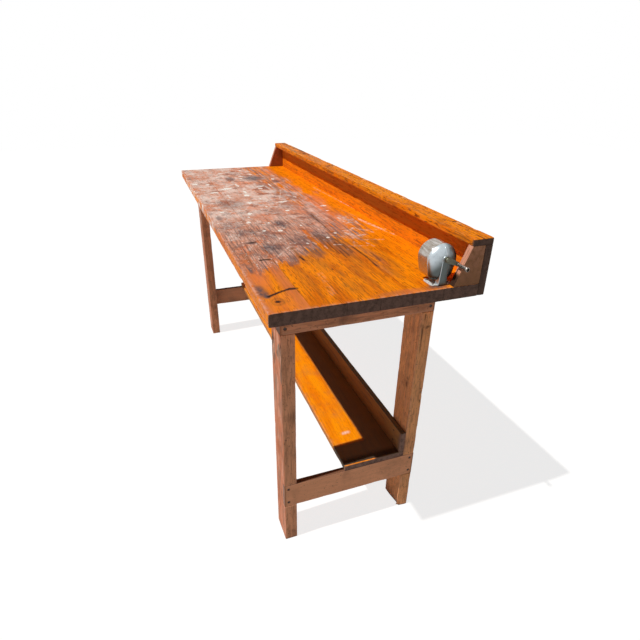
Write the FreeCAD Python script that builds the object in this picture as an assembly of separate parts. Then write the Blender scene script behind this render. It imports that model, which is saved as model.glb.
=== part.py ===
import FreeCAD, Part
import math
import os

# Carpenter's workbench with a crank pencil sharpener screwed to its worktop.
# Millimetres, +Z up, the floor at Z = 0. The front edge faces -Y, and the sharpener stands at the +X end.
# Pieces are built in a bench frame: X = 0 at mid length, Y = 0 at the worktop's front edge.
# The last step moves them so that the origin is under the middle of the whole object's box.

V = FreeCAD.Vector
X_AXIS = V(1, 0, 0)
Y_AXIS = V(0, 1, 0)
Z_AXIS = V(0, 0, 1)
ORIGIN = V(0, 0, 0)
SIDES = {"left": -1, "right": 1}
FLAT_LIMIT = 1e-6

# Worktop
BENCH_HEIGHT = 914.4
TOP_LENGTH = 1828.8
TOP_WIDTH = 565.0
TOP_THICK = 35.0
EDGE_PLANK_WIDTH = 104.5
INNER_PLANKS = 4

# Back board, cap and cheeks
BACK_THICK = 22.0
BACK_RISE = 103.0
CAP_WIDTH = 60.0
CAP_THICK = 19.0
CHEEK_THICK = 19.0
CHEEK_FOOT = 79.0

# End frames
LEG_WIDTH = 92.1
LEG_THICK = 41.3
END_OVERHANG = 110.0
FRONT_OVERHANG = 56.0
FRAME_DEPTH = 462.5
UPPER_RAIL_THICK = 41.3
UPPER_RAIL_HEIGHT = 88.9
LOWER_RAIL_THICK = 19.0
LOWER_RAIL_HEIGHT = 92.1
LOWER_RAIL_TOP = 247.5

# Tool shelf
SHELF_WIDTH = 216.0
SHELF_THICK = 20.0
UPRIGHT_THICK = 19.0
UPRIGHT_HEIGHT = 79.4

# Arrises broken on every board, and the finer ones along the planks' seams
EDGE_EASE = 1.2
SEAM_EASE = 0.4

# Screws: head radius, head height, shank radius, length, depth of the head below the surface
RAIL_SCREW = (4.2, 3.6, 2.2, 62.0, 1.4)
LONG_SCREW = (5.0, 4.0, 2.6, 66.0, 45.0)
FOOT_SCREW = (3.6, 2.6, 1.8, 22.0, 0.4)
SCREW_SIDES = 6

# Cut nails, square and headless: half diagonal, length, depth below the surface
CAP_NAIL = (2.4, 64.0, 1.5)
BACK_NAIL = (2.4, 60.0, 1.0)
CHEEK_NAIL = (2.4, 50.0, 1.0)
SHELF_NAIL = (2.4, 55.0, 1.0)
UPRIGHT_NAIL = (2.4, 45.0, 1.0)
NAIL_SIDES = 4
RAIL_SCREW_INSET = 14.0
RAIL_SCREW_DROP = 18.0
CAP_NAIL_COUNT = 6
CAP_NAIL_SETBACK = 7.0
BACK_NAIL_COUNT = 5
CHEEK_NAIL_HEIGHT = 52.0
SHELF_NAIL_INSET = 40.0
UPRIGHT_NAIL_INSET = 20.0

# Sharpener: its place on the worktop and its casting
CRANK_FROM_END = 15.0
SHARPENER_FROM_FRONT = 465.0
AXIS_HEIGHT = 72.0
RIM_X = -22.0
CUP_LENGTH = 48.0
CUP_WALL = 1.0
CUP_END_BEVEL = 1.4
CUP_FIT = 0.15
LUG_LENGTH = 5.0
LUG_WALL = 1.6
LUG_WIDTH = 14.0
FLANK_LUG_Z = -29.0
EGG_TOP_Z = -7.0
EGG_TOP_R = 41.0
EGG_CORNER_Y = 13.0
EGG_CORNER_Z = -38.0
EGG_CORNER_R = 22.0
DOME_STATIONS = ((0.0, 0.0), (7.5, 2.8), (17.0, 15.5))
HUB_R = 9.0
HUB_ROOT = 8.0
POST_FOOT_WIDTH = 26.0
POST_TOP_WIDTH = 16.0
POST_DEPTH = 15.0
POST_SETBACK = 2.0
FOOT_LENGTH = 47.0
FOOT_WIDTH = 60.0
FOOT_THICK = 3.5
FOOT_CORNER = 10.0
FOOT_NOSE = -5.0
FOOT_HOLE_INSET = 8.0

# Sharpener: shaft, gears and cutters
SHAFT_R = 3.5
STUD_R = 3.0
BEARING_LENGTH = 11.0
CARRIER_CLEARANCE = 0.9
RUNNING_CLEARANCE = 0.05
END_CLEARANCE = 0.3
RING_TEETH = 32
PINION_TEETH = 14
CUTTER_TILT = 9.5
CUTTER_OFFSET = 7.2
GEAR_X = -19.0
GEAR_WIDTH = 5.0
RING_OUTER_R = 17.0
RING_WIDTH = 6.5
TOOTH_ADDENDUM = 0.62
TOOTH_DEDENDUM = 0.85
TOOTH_SHARE = 0.40
FLANK_ANGLE = 25.0
CUTTER_R = 7.0
CUTTER_LENGTH = 24.0
CUTTER_FLUTES = 10
FLUTE_DEPTH = 0.9
CUTTER_TWIST = 60.0
CUTTER_STATIONS = 3
PIN_R = 2.0
CARRIER_R = 10.8
PLATE_THICK = 3.4
NOSE_PLATE_R = 16.0
NOSE_PLATE_THICK = 3.0
PLATE_CLIP = 6.6
NOSE_GAP = 1.5
PENCIL_WAY_R = 5.5
BAR_INNER = 7.9
BAR_OUTER = 10.2
BAR_HALF_HEIGHT = 3.0

# Sharpener: crank
CRANK_CLEARANCE = 2.2
CRANK_ANGLE = -25.0
CRANK_THICK = 3.0
CRANK_GAP = 0.4
CRANK_HUB_R = 8.0
CRANK_EYE_R = 5.5
NUT_ACROSS_FLATS = 10.0
NUT_HEIGHT = 4.0
STUD_PROUD = 1.0
HANDLE_LENGTH = 40.0
HANDLE_R = 5.9
HANDLE_SIDES = 12
HANDLE_RECESS_R = 4.1
HANDLE_RECESS = 5.0
HANDLE_PIN_R = 2.0
HANDLE_PIN_HEAD_R = 3.2
HANDLE_PIN_HEAD = 1.5
HEAD_SIDES = 12

# Sharpener: pencil dial on the cup's far end
DIAL_R = 17.0
DIAL_THICK = 1.6
DIAL_DROP = 11.0
DIAL_SIDES = 20
DIAL_HOLES = (4.2, 5.2, 3.5)
CUP_HOLE_R = 6.5
RIVET_R = 2.2
RIVET_HEAD_R = 4.0
RIVET_HEAD = 1.2

# Places worked out from the sizes above
HALF_LENGTH = TOP_LENGTH / 2
TOP_UNDERSIDE = BENCH_HEIGHT - TOP_THICK
FRAME_X = HALF_LENGTH - END_OVERHANG
LEG_FRONTS = {"front": FRONT_OVERHANG, "rear": FRONT_OVERHANG + FRAME_DEPTH - LEG_THICK}
CAP_BACK = TOP_WIDTH + BACK_THICK
CAP_FRONT = CAP_BACK - CAP_WIDTH
CAP_UNDERSIDE = BENCH_HEIGHT + BACK_RISE
SHELF_TOP = LOWER_RAIL_TOP + SHELF_THICK
CRANK_X = HALF_LENGTH - CRANK_FROM_END
SHARPENER_AXIS = V(CRANK_X, SHARPENER_FROM_FRONT, BENCH_HEIGHT + AXIS_HEIGHT)
CUP_END_X = RIM_X - CUP_LENGTH
ARM_X = CRANK_GAP
HANDLE_X = ARM_X + CRANK_THICK + CRANK_GAP
HANDLE_OVERHANG = HANDLE_X + HANDLE_LENGTH - CRANK_FROM_END
CHEEK_FRONT = TOP_WIDTH - CHEEK_FOOT
CHEEK_RUN = CAP_FRONT - CHEEK_FRONT
AXIS_TO_CHEEK = (CHEEK_RUN * AXIS_HEIGHT + BACK_RISE * (CHEEK_FRONT - SHARPENER_FROM_FRONT)) / math.hypot(
    CHEEK_RUN, BACK_RISE)
CRANK_RADIUS = AXIS_TO_CHEEK - HANDLE_R - CRANK_CLEARANCE
APEX_X = GEAR_X + CUTTER_OFFSET / math.tan(math.radians(CUTTER_TILT))
APEX_TO_GEAR = CUTTER_OFFSET / math.sin(math.radians(CUTTER_TILT))
CARRIER_BACK_X = -BEARING_LENGTH - END_CLEARANCE
BOX_CENTRE = V(HANDLE_OVERHANG / 2, CAP_BACK / 2, 0)


def ordered_box(x0, x1, y0, y1, z0, z1):
    low = V(min(x0, x1), min(y0, y1), min(z0, z1))
    return Part.makeBox(abs(x1 - x0), abs(y1 - y0), abs(z1 - z0), low)


def board(x0, x1, y0, y1, z0, z1, ease=EDGE_EASE):
    """Sawn board between two corners, with its arrises broken."""
    blank = ordered_box(x0, x1, y0, y1, z0, z1)
    return blank.makeChamfer(ease, blank.Edges)


def flat_face(points):
    return Part.Face(Part.makePolygon(points + points[:1]))


def skinned(rings, twisted=False):
    """Solid of flat faces between rings of points; a twisted skin splits each four-sided face in two."""
    faces = [flat_face(rings[0]), flat_face(rings[-1])]
    for ring, following in zip(rings, rings[1:]):
        for index, point in enumerate(ring):
            beside = ring[index - 1]
            across = following[index]
            opposite = following[index - 1]
            if twisted:
                faces += [flat_face([beside, point, across]), flat_face([beside, across, opposite])]
            else:
                faces.append(flat_face([beside, point, across, opposite]))
    solid = Part.Solid(Part.Shell(faces))
    if solid.Volume < 0:
        solid.reverse()
    return solid


def ring_of(count, radius, z):
    """Corners of a regular polygon about Z, with flats towards the axes."""
    angles = [2 * math.pi * (index + 0.5) / count for index in range(count)]
    return [V(radius * math.cos(angle), radius * math.sin(angle), z) for angle in angles]


def placed(shape, point, direction):
    """Copy of a shape built along +Z, moved to a point and turned to a direction."""
    copy = shape.copy()
    copy.Placement = FreeCAD.Placement(point, FreeCAD.Rotation(Z_AXIS, direction))
    return copy


def screw(kind):
    """Six-sided screw along +Z with a countersunk head, and the hole that sinks it."""
    head_r, head, shank_r, length, sink = kind
    profile = [(head_r, 0), (shank_r, head), (shank_r, length)]
    rings = [ring_of(SCREW_SIDES, radius, z) for radius, z in profile]
    return skinned(rings), skinned([ring_of(SCREW_SIDES, head_r, -sink)] + rings), sink


def nail(kind):
    """Square nail along +Z, and the hole that sinks it."""
    half, length, sink = kind
    point = ring_of(NAIL_SIDES, half, length)
    solid = skinned([ring_of(NAIL_SIDES, half, 0), point])
    hole = skinned([ring_of(NAIL_SIDES, half, -sink), point])
    return solid, hole, sink


def fasten(parts, boards, fastener, places):
    """Drives one fastener at each (surface point, direction) and cuts its hole in the named boards."""
    solid, hole, sink = fastener
    solids = []
    holes = []
    for point, direction in places:
        seat = point + direction * sink
        solids.append(placed(solid, seat, direction))
        holes.append(placed(hole, seat, direction))
    for name in boards:
        parts[name] = parts[name].cut(Part.makeCompound(holes))
    return Part.makeCompound(solids)


def even_places(count, length):
    """Middles of equal shares of a length centred on zero."""
    pitch = length / count
    return [pitch * (index + 0.5) - length / 2 for index in range(count)]


def worktop(parts):
    """Planks side by side, from the front edge to the back edge."""
    inner = (TOP_WIDTH - 2 * EDGE_PLANK_WIDTH) / INNER_PLANKS
    widths = [EDGE_PLANK_WIDTH] + [inner] * INNER_PLANKS + [EDGE_PLANK_WIDTH]
    middles = []
    y = 0
    for number, width in enumerate(widths, start=1):
        parts[f"top_plank_{number}"] = board(
            -HALF_LENGTH, HALF_LENGTH, y, y + width, TOP_UNDERSIDE, BENCH_HEIGHT, SEAM_EASE
        )
        middles.append(y + width / 2)
        y += width
    return middles


def cheek(side):
    """Sloped end piece in front of the back board, its outer face flush with the worktop's end."""
    outer = side * HALF_LENGTH
    inner = outer - side * CHEEK_THICK
    x = min(outer, inner)
    corners = [
        V(x, CHEEK_FRONT, BENCH_HEIGHT),
        V(x, TOP_WIDTH, BENCH_HEIGHT),
        V(x, TOP_WIDTH, CAP_UNDERSIDE),
        V(x, CAP_FRONT, CAP_UNDERSIDE),
    ]
    blank = flat_face(corners).extrude(X_AXIS * CHEEK_THICK)
    return blank.makeChamfer(EDGE_EASE, blank.Edges)


def back_shelf(parts):
    parts["back_board"] = board(
        -HALF_LENGTH, HALF_LENGTH, TOP_WIDTH, CAP_BACK, TOP_UNDERSIDE, CAP_UNDERSIDE
    )
    parts["shelf_cap"] = board(
        -HALF_LENGTH, HALF_LENGTH, CAP_FRONT, CAP_BACK, CAP_UNDERSIDE, CAP_UNDERSIDE + CAP_THICK
    )
    for name, side in SIDES.items():
        parts[f"cheek_{name}"] = cheek(side)


def end_frame(parts, name, side):
    """Two legs with an upper and a lower rail let into their outer faces."""
    outer = side * FRAME_X
    back = FRONT_OVERHANG + FRAME_DEPTH
    upper = (outer, outer - side * UPPER_RAIL_THICK, FRONT_OVERHANG, back,
             TOP_UNDERSIDE - UPPER_RAIL_HEIGHT, TOP_UNDERSIDE)
    lower = (outer, outer - side * LOWER_RAIL_THICK, FRONT_OVERHANG, back,
             LOWER_RAIL_TOP - LOWER_RAIL_HEIGHT, LOWER_RAIL_TOP)
    housings = Part.makeCompound([ordered_box(*upper), ordered_box(*lower)])
    parts[f"upper_rail_{name}"] = board(*upper)
    parts[f"lower_rail_{name}"] = board(*lower)
    for place, y in LEG_FRONTS.items():
        post = board(outer, outer - side * LEG_WIDTH, y, y + LEG_THICK, 0, TOP_UNDERSIDE)
        parts[f"leg_{place}_{name}"] = post.cut(housings)


def tool_shelf(parts):
    back = LEG_FRONTS["rear"]
    parts["tool_shelf"] = board(
        -FRAME_X, FRAME_X, back - SHELF_WIDTH, back, LOWER_RAIL_TOP, SHELF_TOP
    )
    parts["shelf_upright"] = board(
        -FRAME_X, FRAME_X, back - UPRIGHT_THICK, back, SHELF_TOP, SHELF_TOP + UPRIGHT_HEIGHT
    )


def frame_screws(parts):
    """One screw at each end of an upper rail and two at each end of a lower one."""
    ys = [FRONT_OVERHANG + RAIL_SCREW_INSET, FRONT_OVERHANG + FRAME_DEPTH - RAIL_SCREW_INSET]
    upper_z = TOP_UNDERSIDE - UPPER_RAIL_HEIGHT + RAIL_SCREW_DROP
    lower_top = LOWER_RAIL_TOP - RAIL_SCREW_DROP
    lower_bottom = LOWER_RAIL_TOP - LOWER_RAIL_HEIGHT + RAIL_SCREW_DROP
    upper = []
    lower = []
    for side in SIDES.values():
        inward = X_AXIS * -side
        upper += [(V(side * FRAME_X, y, upper_z), inward) for y in ys]
        lower += [(V(side * FRAME_X, y, z), inward) for y in ys for z in (lower_top, lower_bottom)]
    legs = [f"leg_{place}_{name}" for place in LEG_FRONTS for name in SIDES]
    uppers = [f"upper_rail_{name}" for name in SIDES]
    lowers = [f"lower_rail_{name}" for name in SIDES]
    parts["upper_rail_screws"] = fasten(parts, uppers + legs, screw(RAIL_SCREW), upper)
    parts["lower_rail_screws"] = fasten(parts, lowers + legs, screw(RAIL_SCREW), lower)


def worktop_screws(parts, plank_middles):
    """Screws sunk up through the upper rails into the first and last of the inner planks."""
    underside = TOP_UNDERSIDE - UPPER_RAIL_HEIGHT
    rail_x = FRAME_X - UPPER_RAIL_THICK / 2
    places = [(V(side * rail_x, y, underside), Z_AXIS)
              for side in SIDES.values() for y in (plank_middles[1], plank_middles[-2])]
    planks = ["top_plank_2", f"top_plank_{INNER_PLANKS + 1}"]
    rails = [f"upper_rail_{name}" for name in SIDES]
    parts["top_screws"] = fasten(parts, planks + rails, screw(LONG_SCREW), places)


def back_fixings(parts, last_plank):
    """Nails through the cap from above, and from behind into the worktop and the cheeks."""
    cap_top = CAP_UNDERSIDE + CAP_THICK
    caps = [(V(x, TOP_WIDTH + CAP_NAIL_SETBACK, cap_top), -Z_AXIS)
            for x in even_places(CAP_NAIL_COUNT, TOP_LENGTH)]
    backs = [(V(x, CAP_BACK, BENCH_HEIGHT - TOP_THICK / 2), -Y_AXIS)
             for x in even_places(BACK_NAIL_COUNT, TOP_LENGTH)]
    cheek_x = HALF_LENGTH - CHEEK_THICK / 2
    cheeks = [(V(side * cheek_x, CAP_BACK, BENCH_HEIGHT + CHEEK_NAIL_HEIGHT), -Y_AXIS)
              for side in SIDES.values()]
    ends = [f"cheek_{name}" for name in SIDES]
    parts["cap_nails"] = fasten(parts, ["shelf_cap", "back_board"], nail(CAP_NAIL), caps)
    parts["back_board_nails"] = fasten(parts, ["back_board", last_plank], nail(BACK_NAIL), backs)
    parts["cheek_nails"] = fasten(parts, ["back_board"] + ends, nail(CHEEK_NAIL), cheeks)


def shelf_fixings(parts):
    """Nails through the shelf into the lower rails, and through the upright into the rear legs."""
    back = LEG_FRONTS["rear"]
    rail_x = FRAME_X - LOWER_RAIL_THICK / 2
    nail_ys = (back - SHELF_WIDTH + SHELF_NAIL_INSET, back - UPRIGHT_THICK - SHELF_NAIL_INSET)
    downs = [(V(side * rail_x, y, SHELF_TOP), -Z_AXIS) for side in SIDES.values() for y in nail_ys]
    leg_x = FRAME_X - LEG_WIDTH / 2
    nail_zs = (SHELF_TOP + UPRIGHT_NAIL_INSET, SHELF_TOP + UPRIGHT_HEIGHT - UPRIGHT_NAIL_INSET)
    backs = [(V(side * leg_x, back - UPRIGHT_THICK, z), Y_AXIS)
             for side in SIDES.values() for z in nail_zs]
    rails = [f"lower_rail_{name}" for name in SIDES]
    legs = [f"leg_rear_{name}" for name in SIDES]
    parts["shelf_nails"] = fasten(parts, ["tool_shelf"] + rails, nail(SHELF_NAIL), downs)
    parts["upright_nails"] = fasten(parts, ["shelf_upright"] + legs, nail(UPRIGHT_NAIL), backs)


# The sharpener is built about its own axis: X along the shaft, X = 0 at the hub's face, crank towards +X


def rod(radius, x0, x1, y=0, z=0):
    return Part.makeCylinder(radius, x1 - x0, V(x0, y, z), X_AXIS)


def egg(x, inset=0):
    """Outline of the casting and its cup across the shaft: round top, leaning flanks, rounded foot."""
    drop = EGG_CORNER_Z - EGG_TOP_Z
    reach = math.hypot(EGG_CORNER_Y, drop)
    lean = math.atan2(drop, EGG_CORNER_Y) + math.acos((EGG_TOP_R - EGG_CORNER_R) / reach)
    turn = (lean - math.pi / 2) / 2
    top_r = EGG_TOP_R - inset
    corner_r = EGG_CORNER_R - inset

    def at(y, z):
        return V(x, y, z)

    def on_top(side, angle):
        return at(side * top_r * math.cos(angle), EGG_TOP_Z + top_r * math.sin(angle))

    def on_corner(side, angle):
        y = EGG_CORNER_Y + corner_r * math.cos(angle)
        return at(side * y, EGG_CORNER_Z + corner_r * math.sin(angle))

    down = -math.pi / 2
    edges = [
        Part.Arc(on_top(1, lean), on_top(1, math.pi / 2), on_top(-1, lean)).toShape(),
        Part.makeLine(on_top(-1, lean), on_corner(-1, lean)),
        Part.Arc(on_corner(-1, lean), on_corner(-1, turn), on_corner(-1, down)).toShape(),
        Part.makeLine(on_corner(-1, down), on_corner(1, down)),
        Part.Arc(on_corner(1, down), on_corner(1, turn), on_corner(1, lean)).toShape(),
        Part.makeLine(on_corner(1, lean), on_top(1, lean)),
    ]
    return Part.Wire(edges)


def egg_block(x0, x1, inset=0):
    return Part.Face(egg(x0, inset)).extrude(X_AXIS * (x1 - x0))


def dome():
    """Casting's bulged back: egg outlines shrink in straight bands towards the crank."""
    return Part.makeLoft([egg(RIM_X + depth, inset) for depth, inset in DOME_STATIONS], True, True)


def cup_lugs():
    """Lugs at the casting's rim that hold the cup from inside: bottom and both flanks."""
    end = RIM_X - LUG_LENGTH
    outer = CUP_WALL + CUP_FIT
    ring = egg_block(end, RIM_X, outer).cut(egg_block(end, RIM_X, outer + LUG_WALL))
    half = LUG_WIDTH / 2
    reach = 2 * EGG_TOP_R
    windows = [
        ordered_box(end, RIM_X, -half, half, -reach, 0),
        ordered_box(end, RIM_X, -reach, reach, FLANK_LUG_Z - half, FLANK_LUG_Z + half),
    ]
    return [ring.common(window) for window in windows]


def foot_plate():
    """Foot with clipped corners, from its nose under the crank to its heel under the cup."""
    low = -AXIS_HEIGHT
    plate = ordered_box(FOOT_NOSE - FOOT_LENGTH, FOOT_NOSE, -FOOT_WIDTH / 2, FOOT_WIDTH / 2,
                        low, low + FOOT_THICK)
    upright_edges = [edge for edge in plate.Edges if abs(edge.BoundBox.ZLength - FOOT_THICK) < FLAT_LIMIT]
    return plate.makeChamfer(FOOT_CORNER, upright_edges)


def post():
    """Tapered post from the foot to the hub."""
    x = -POST_SETBACK - POST_DEPTH
    low = -AXIS_HEIGHT + FOOT_THICK / 2
    corners = [
        V(x, -POST_FOOT_WIDTH / 2, low),
        V(x, POST_FOOT_WIDTH / 2, low),
        V(x, POST_TOP_WIDTH / 2, 0),
        V(x, -POST_TOP_WIDTH / 2, 0),
    ]
    return flat_face(corners).extrude(X_AXIS * POST_DEPTH)


def sharpener_frame():
    """One casting: foot, post, domed housing, hub, and the lugs that the cup slides over."""
    casting = dome().fuse(cup_lugs() + [rod(HUB_R, -HUB_ROOT, 0), post(), foot_plate()])
    ring_back = RIM_X + RING_WIDTH
    bores = [
        rod(RING_OUTER_R, RIM_X, ring_back),
        rod(CARRIER_R + CARRIER_CLEARANCE, ring_back, -BEARING_LENGTH),
        rod(SHAFT_R + RUNNING_CLEARANCE, -BEARING_LENGTH, 0),
    ]
    return casting.cut(bores).removeSplitter()


def foot_screw_places():
    heel = FOOT_NOSE - FOOT_LENGTH + FOOT_HOLE_INSET
    nose = FOOT_NOSE - FOOT_HOLE_INSET
    side = FOOT_WIDTH / 2 - FOOT_HOLE_INSET
    top = -AXIS_HEIGHT + FOOT_THICK
    return [(V(x, y, top), -Z_AXIS) for x in (heel, nose) for y in (-side, side)]


def chip_cup():
    """Egg-shaped cup with a bevelled far end and a hole for the pencil."""
    inner_end = CUP_END_X + CUP_WALL
    rim = RIM_X - END_CLEARANCE
    outer = bevelled_end(egg_block(CUP_END_X, rim), CUP_END_X, CUP_END_BEVEL)
    inner = egg_block(inner_end, rim, CUP_WALL)
    holes = [
        rod(CUP_HOLE_R, CUP_END_X, inner_end),
        rod(RIVET_R, CUP_END_X, inner_end, 0, -DIAL_DROP),
    ]
    return outer.cut(inner).cut(holes)


def bevelled_end(block, x, size):
    rim = [edge for edge in block.Edges
           if edge.BoundBox.XLength < FLAT_LIMIT and abs(edge.BoundBox.XMin - x) < FLAT_LIMIT]
    return block.makeChamfer(size, rim)


def gear_outline(teeth, pitch_r, outward, inward, share, distance, scale):
    """Straight-flanked teeth about Z, one of them centred on +X."""
    pitch = 2 * math.pi * pitch_r / teeth
    flank = math.tan(math.radians(FLANK_ANGLE))
    tip_half = (pitch * share / 2 - outward * flank) / (pitch_r + outward)
    root_half = (pitch * share / 2 + inward * flank) / (pitch_r - inward)
    corners = [(pitch_r - inward, -root_half), (pitch_r + outward, -tip_half),
               (pitch_r + outward, tip_half), (pitch_r - inward, root_half)]
    points = []
    for tooth in range(teeth):
        middle = 2 * math.pi * tooth / teeth
        for radius, angle in corners:
            size = radius * scale
            points.append(V(size * math.cos(middle + angle), size * math.sin(middle + angle), distance))
    return points


def bevel_teeth(teeth, pitch_r, outward, inward, share, near, far, middle):
    """Teeth that taper towards an apex at the origin, between two distances from it along Z."""
    return skinned([gear_outline(teeth, pitch_r, outward, inward, share, z, z / middle) for z in (near, far)])


def gear_cones():
    """Pitch radii of the pinion and the ring gear, whose cones share the apex."""
    tilt = math.radians(CUTTER_TILT)
    pinion_cone = math.atan(math.sin(tilt) / (RING_TEETH / PINION_TEETH - math.cos(tilt)))
    ring_cone = pinion_cone + tilt
    return APEX_TO_GEAR * math.tan(pinion_cone), (APEX_X - GEAR_X) * math.tan(ring_cone)


def cutter_placement():
    """From a frame with its origin at the apex and Z along the cutter to the sharpener's own frame."""
    tilt = math.radians(CUTTER_TILT)
    c = math.cos(tilt)
    s = math.sin(tilt)
    return FreeCAD.Placement(FreeCAD.Matrix(s, 0, -c, APEX_X, 0, 1, 0, 0, c, 0, s, 0, 0, 0, 0, 1))


def on_cutter_axis(shape, half_turn):
    copy = shape.copy()
    copy.Placement = cutter_placement().multiply(copy.Placement)
    if half_turn:
        copy.rotate(ORIGIN, X_AXIS, 180)
    return copy


def cutter_start():
    """Distance from the apex along the cutter at which its blades clear the ring gear."""
    tilt = math.radians(CUTTER_TILT)
    return (APEX_X - RIM_X + END_CLEARANCE + CUTTER_R * math.sin(tilt)) / math.cos(tilt)


def ring_gear():
    """Ring with bevelled inner teeth, a gap centred above the shaft."""
    _, pitch_r = gear_cones()
    middle = APEX_X - GEAR_X
    near = APEX_X - (RIM_X + RING_WIDTH)
    far = APEX_X - RIM_X
    space = bevel_teeth(RING_TEETH, pitch_r, TOOTH_DEDENDUM, TOOTH_ADDENDUM, 1 - TOOTH_SHARE,
                        near, far, middle)
    space.Placement = FreeCAD.Placement(FreeCAD.Matrix(0, 0, -1, APEX_X, 0, 1, 0, 0, 1, 0, 0, 0, 0, 0, 0, 1))
    return rod(RING_OUTER_R, RIM_X, RIM_X + RING_WIDTH).cut(space)


def cutter():
    """Helical milling cutter with its bevelled pinion, about Z, the apex of the gears at the origin."""
    pitch_r, _ = gear_cones()
    near = APEX_TO_GEAR - GEAR_WIDTH / 2
    start = cutter_start()
    pinion = bevel_teeth(PINION_TEETH, pitch_r, TOOTH_ADDENDUM, TOOTH_DEDENDUM, TOOTH_SHARE,
                         near, start, APEX_TO_GEAR)
    rings = []
    for station in range(CUTTER_STATIONS):
        share = station / (CUTTER_STATIONS - 1)
        ring = []
        for corner in range(2 * CUTTER_FLUTES):
            radius = CUTTER_R - FLUTE_DEPTH * (corner % 2)
            angle = math.pi * corner / CUTTER_FLUTES + math.radians(CUTTER_TWIST) * share
            z = start + CUTTER_LENGTH * share
            ring.append(V(radius * math.cos(angle), radius * math.sin(angle), z))
        rings.append(ring)
    body = skinned(rings, True)
    bore = Part.makeCylinder(PIN_R + RUNNING_CLEARANCE, start + CUTTER_LENGTH - near, V(0, 0, near))
    return pinion.fuse(body).cut(bore)


def cutter_pins():
    """Pins between the carrier's two plates."""
    tilt = math.cos(math.radians(CUTTER_TILT))
    start = (APEX_X - CARRIER_BACK_X) / tilt
    end = (APEX_X - nose_plate_x()) / tilt
    pin = Part.makeCylinder(PIN_R, end - start, V(0, 0, start))
    return Part.makeCompound([on_cutter_axis(pin, False), on_cutter_axis(pin, True)])


def nose_plate_x():
    """Inner face of the carrier's far plate, past the cutters' slanted ends."""
    tilt = math.radians(CUTTER_TILT)
    reach = cutter_start() + CUTTER_LENGTH
    return APEX_X - reach * math.cos(tilt) - CUTTER_R * math.sin(tilt) - NOSE_GAP


def clipped_plate(x, thick, half_height, clip):
    """Flat plate across both pins and both side bars, reaching back from x, with its corners clipped."""
    plate = ordered_box(x - thick, x, -BAR_OUTER, BAR_OUTER, -half_height, half_height)
    corners = [edge for edge in plate.Edges if abs(edge.BoundBox.XLength - thick) < FLAT_LIMIT]
    return plate.makeChamfer(clip, corners)


def cutter_carrier():
    """Shaft, back plate, two side bars and the far plate that the pencil passes through."""
    back = CARRIER_BACK_X
    front = back - PLATE_THICK
    nose = nose_plate_x()
    arm_face = ARM_X
    stud_end = ARM_X + CRANK_THICK + NUT_HEIGHT + STUD_PROUD
    bars = [ordered_box(nose, front, side * BAR_INNER, side * BAR_OUTER, -BAR_HALF_HEIGHT, BAR_HALF_HEIGHT)
            for side in SIDES.values()]
    solid = clipped_plate(back, PLATE_THICK, CARRIER_R, PLATE_CLIP).fuse(bars + [
        rod(SHAFT_R, back, arm_face),
        rod(STUD_R, arm_face, stud_end),
        clipped_plate(nose, NOSE_PLATE_THICK, NOSE_PLATE_R, PLATE_CLIP),
    ])
    way = rod(PENCIL_WAY_R, nose - NOSE_PLATE_THICK, nose)
    return solid.cut([way, cutter_pins()]).removeSplitter()


def crank_eye():
    angle = math.radians(CRANK_ANGLE)
    return CRANK_RADIUS * math.cos(angle), CRANK_RADIUS * math.sin(angle)


def crank_arm():
    """Flat tapered link between its hub eye and its handle eye, turned to the rest angle."""
    taper = math.acos((CRANK_HUB_R - CRANK_EYE_R) / CRANK_RADIUS)

    def at(centre, radius, angle):
        return V(ARM_X, centre + radius * math.cos(angle), radius * math.sin(angle))

    edges = [
        Part.Arc(at(0, CRANK_HUB_R, taper), at(0, CRANK_HUB_R, math.pi),
                 at(0, CRANK_HUB_R, -taper)).toShape(),
        Part.makeLine(at(0, CRANK_HUB_R, -taper), at(CRANK_RADIUS, CRANK_EYE_R, -taper)),
        Part.Arc(at(CRANK_RADIUS, CRANK_EYE_R, -taper), at(CRANK_RADIUS, CRANK_EYE_R, 0),
                 at(CRANK_RADIUS, CRANK_EYE_R, taper)).toShape(),
        Part.makeLine(at(CRANK_RADIUS, CRANK_EYE_R, taper), at(0, CRANK_HUB_R, taper)),
    ]
    link = Part.Face(Part.Wire(edges)).extrude(X_AXIS * CRANK_THICK)
    link.rotate(ORIGIN, X_AXIS, CRANK_ANGLE)
    y, z = crank_eye()
    face = ARM_X + CRANK_THICK
    return link.cut([rod(STUD_R, ARM_X, face), rod(HANDLE_PIN_R, ARM_X, face, y, z)])


def crank_nut():
    face = ARM_X + CRANK_THICK
    corner_r = NUT_ACROSS_FLATS / math.sqrt(3)
    corners = [V(face, corner_r * math.cos(math.pi * k / 3), corner_r * math.sin(math.pi * k / 3))
               for k in range(6)]
    blank = flat_face(corners).extrude(X_AXIS * NUT_HEIGHT)
    return blank.cut(rod(STUD_R, face, face + NUT_HEIGHT))


def flatted_rod(sides, radius, x0, x1, y, z):
    """Rod along X with flat sides."""
    blank = skinned([ring_of(sides, radius, distance) for distance in (0, x1 - x0)])
    return placed(blank, V(x0, y, z), X_AXIS)


def crank_handle():
    """Flatted handle with a round recess for the pin's head in its end."""
    y, z = crank_eye()
    end = HANDLE_X + HANDLE_LENGTH
    return flatted_rod(HANDLE_SIDES, HANDLE_R, HANDLE_X, end, y, z).cut([
        rod(HANDLE_RECESS_R, end - HANDLE_RECESS, end, y, z),
        rod(HANDLE_PIN_R + RUNNING_CLEARANCE, HANDLE_X, end, y, z),
    ])


def handle_pin():
    head = HANDLE_X + HANDLE_LENGTH - HANDLE_RECESS + END_CLEARANCE
    y, z = crank_eye()
    return rod(HANDLE_PIN_R, ARM_X, head, y, z).fuse(
        flatted_rod(HEAD_SIDES, HANDLE_PIN_HEAD_R, head, head + HANDLE_PIN_HEAD, y, z)
    ).removeSplitter()


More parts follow.
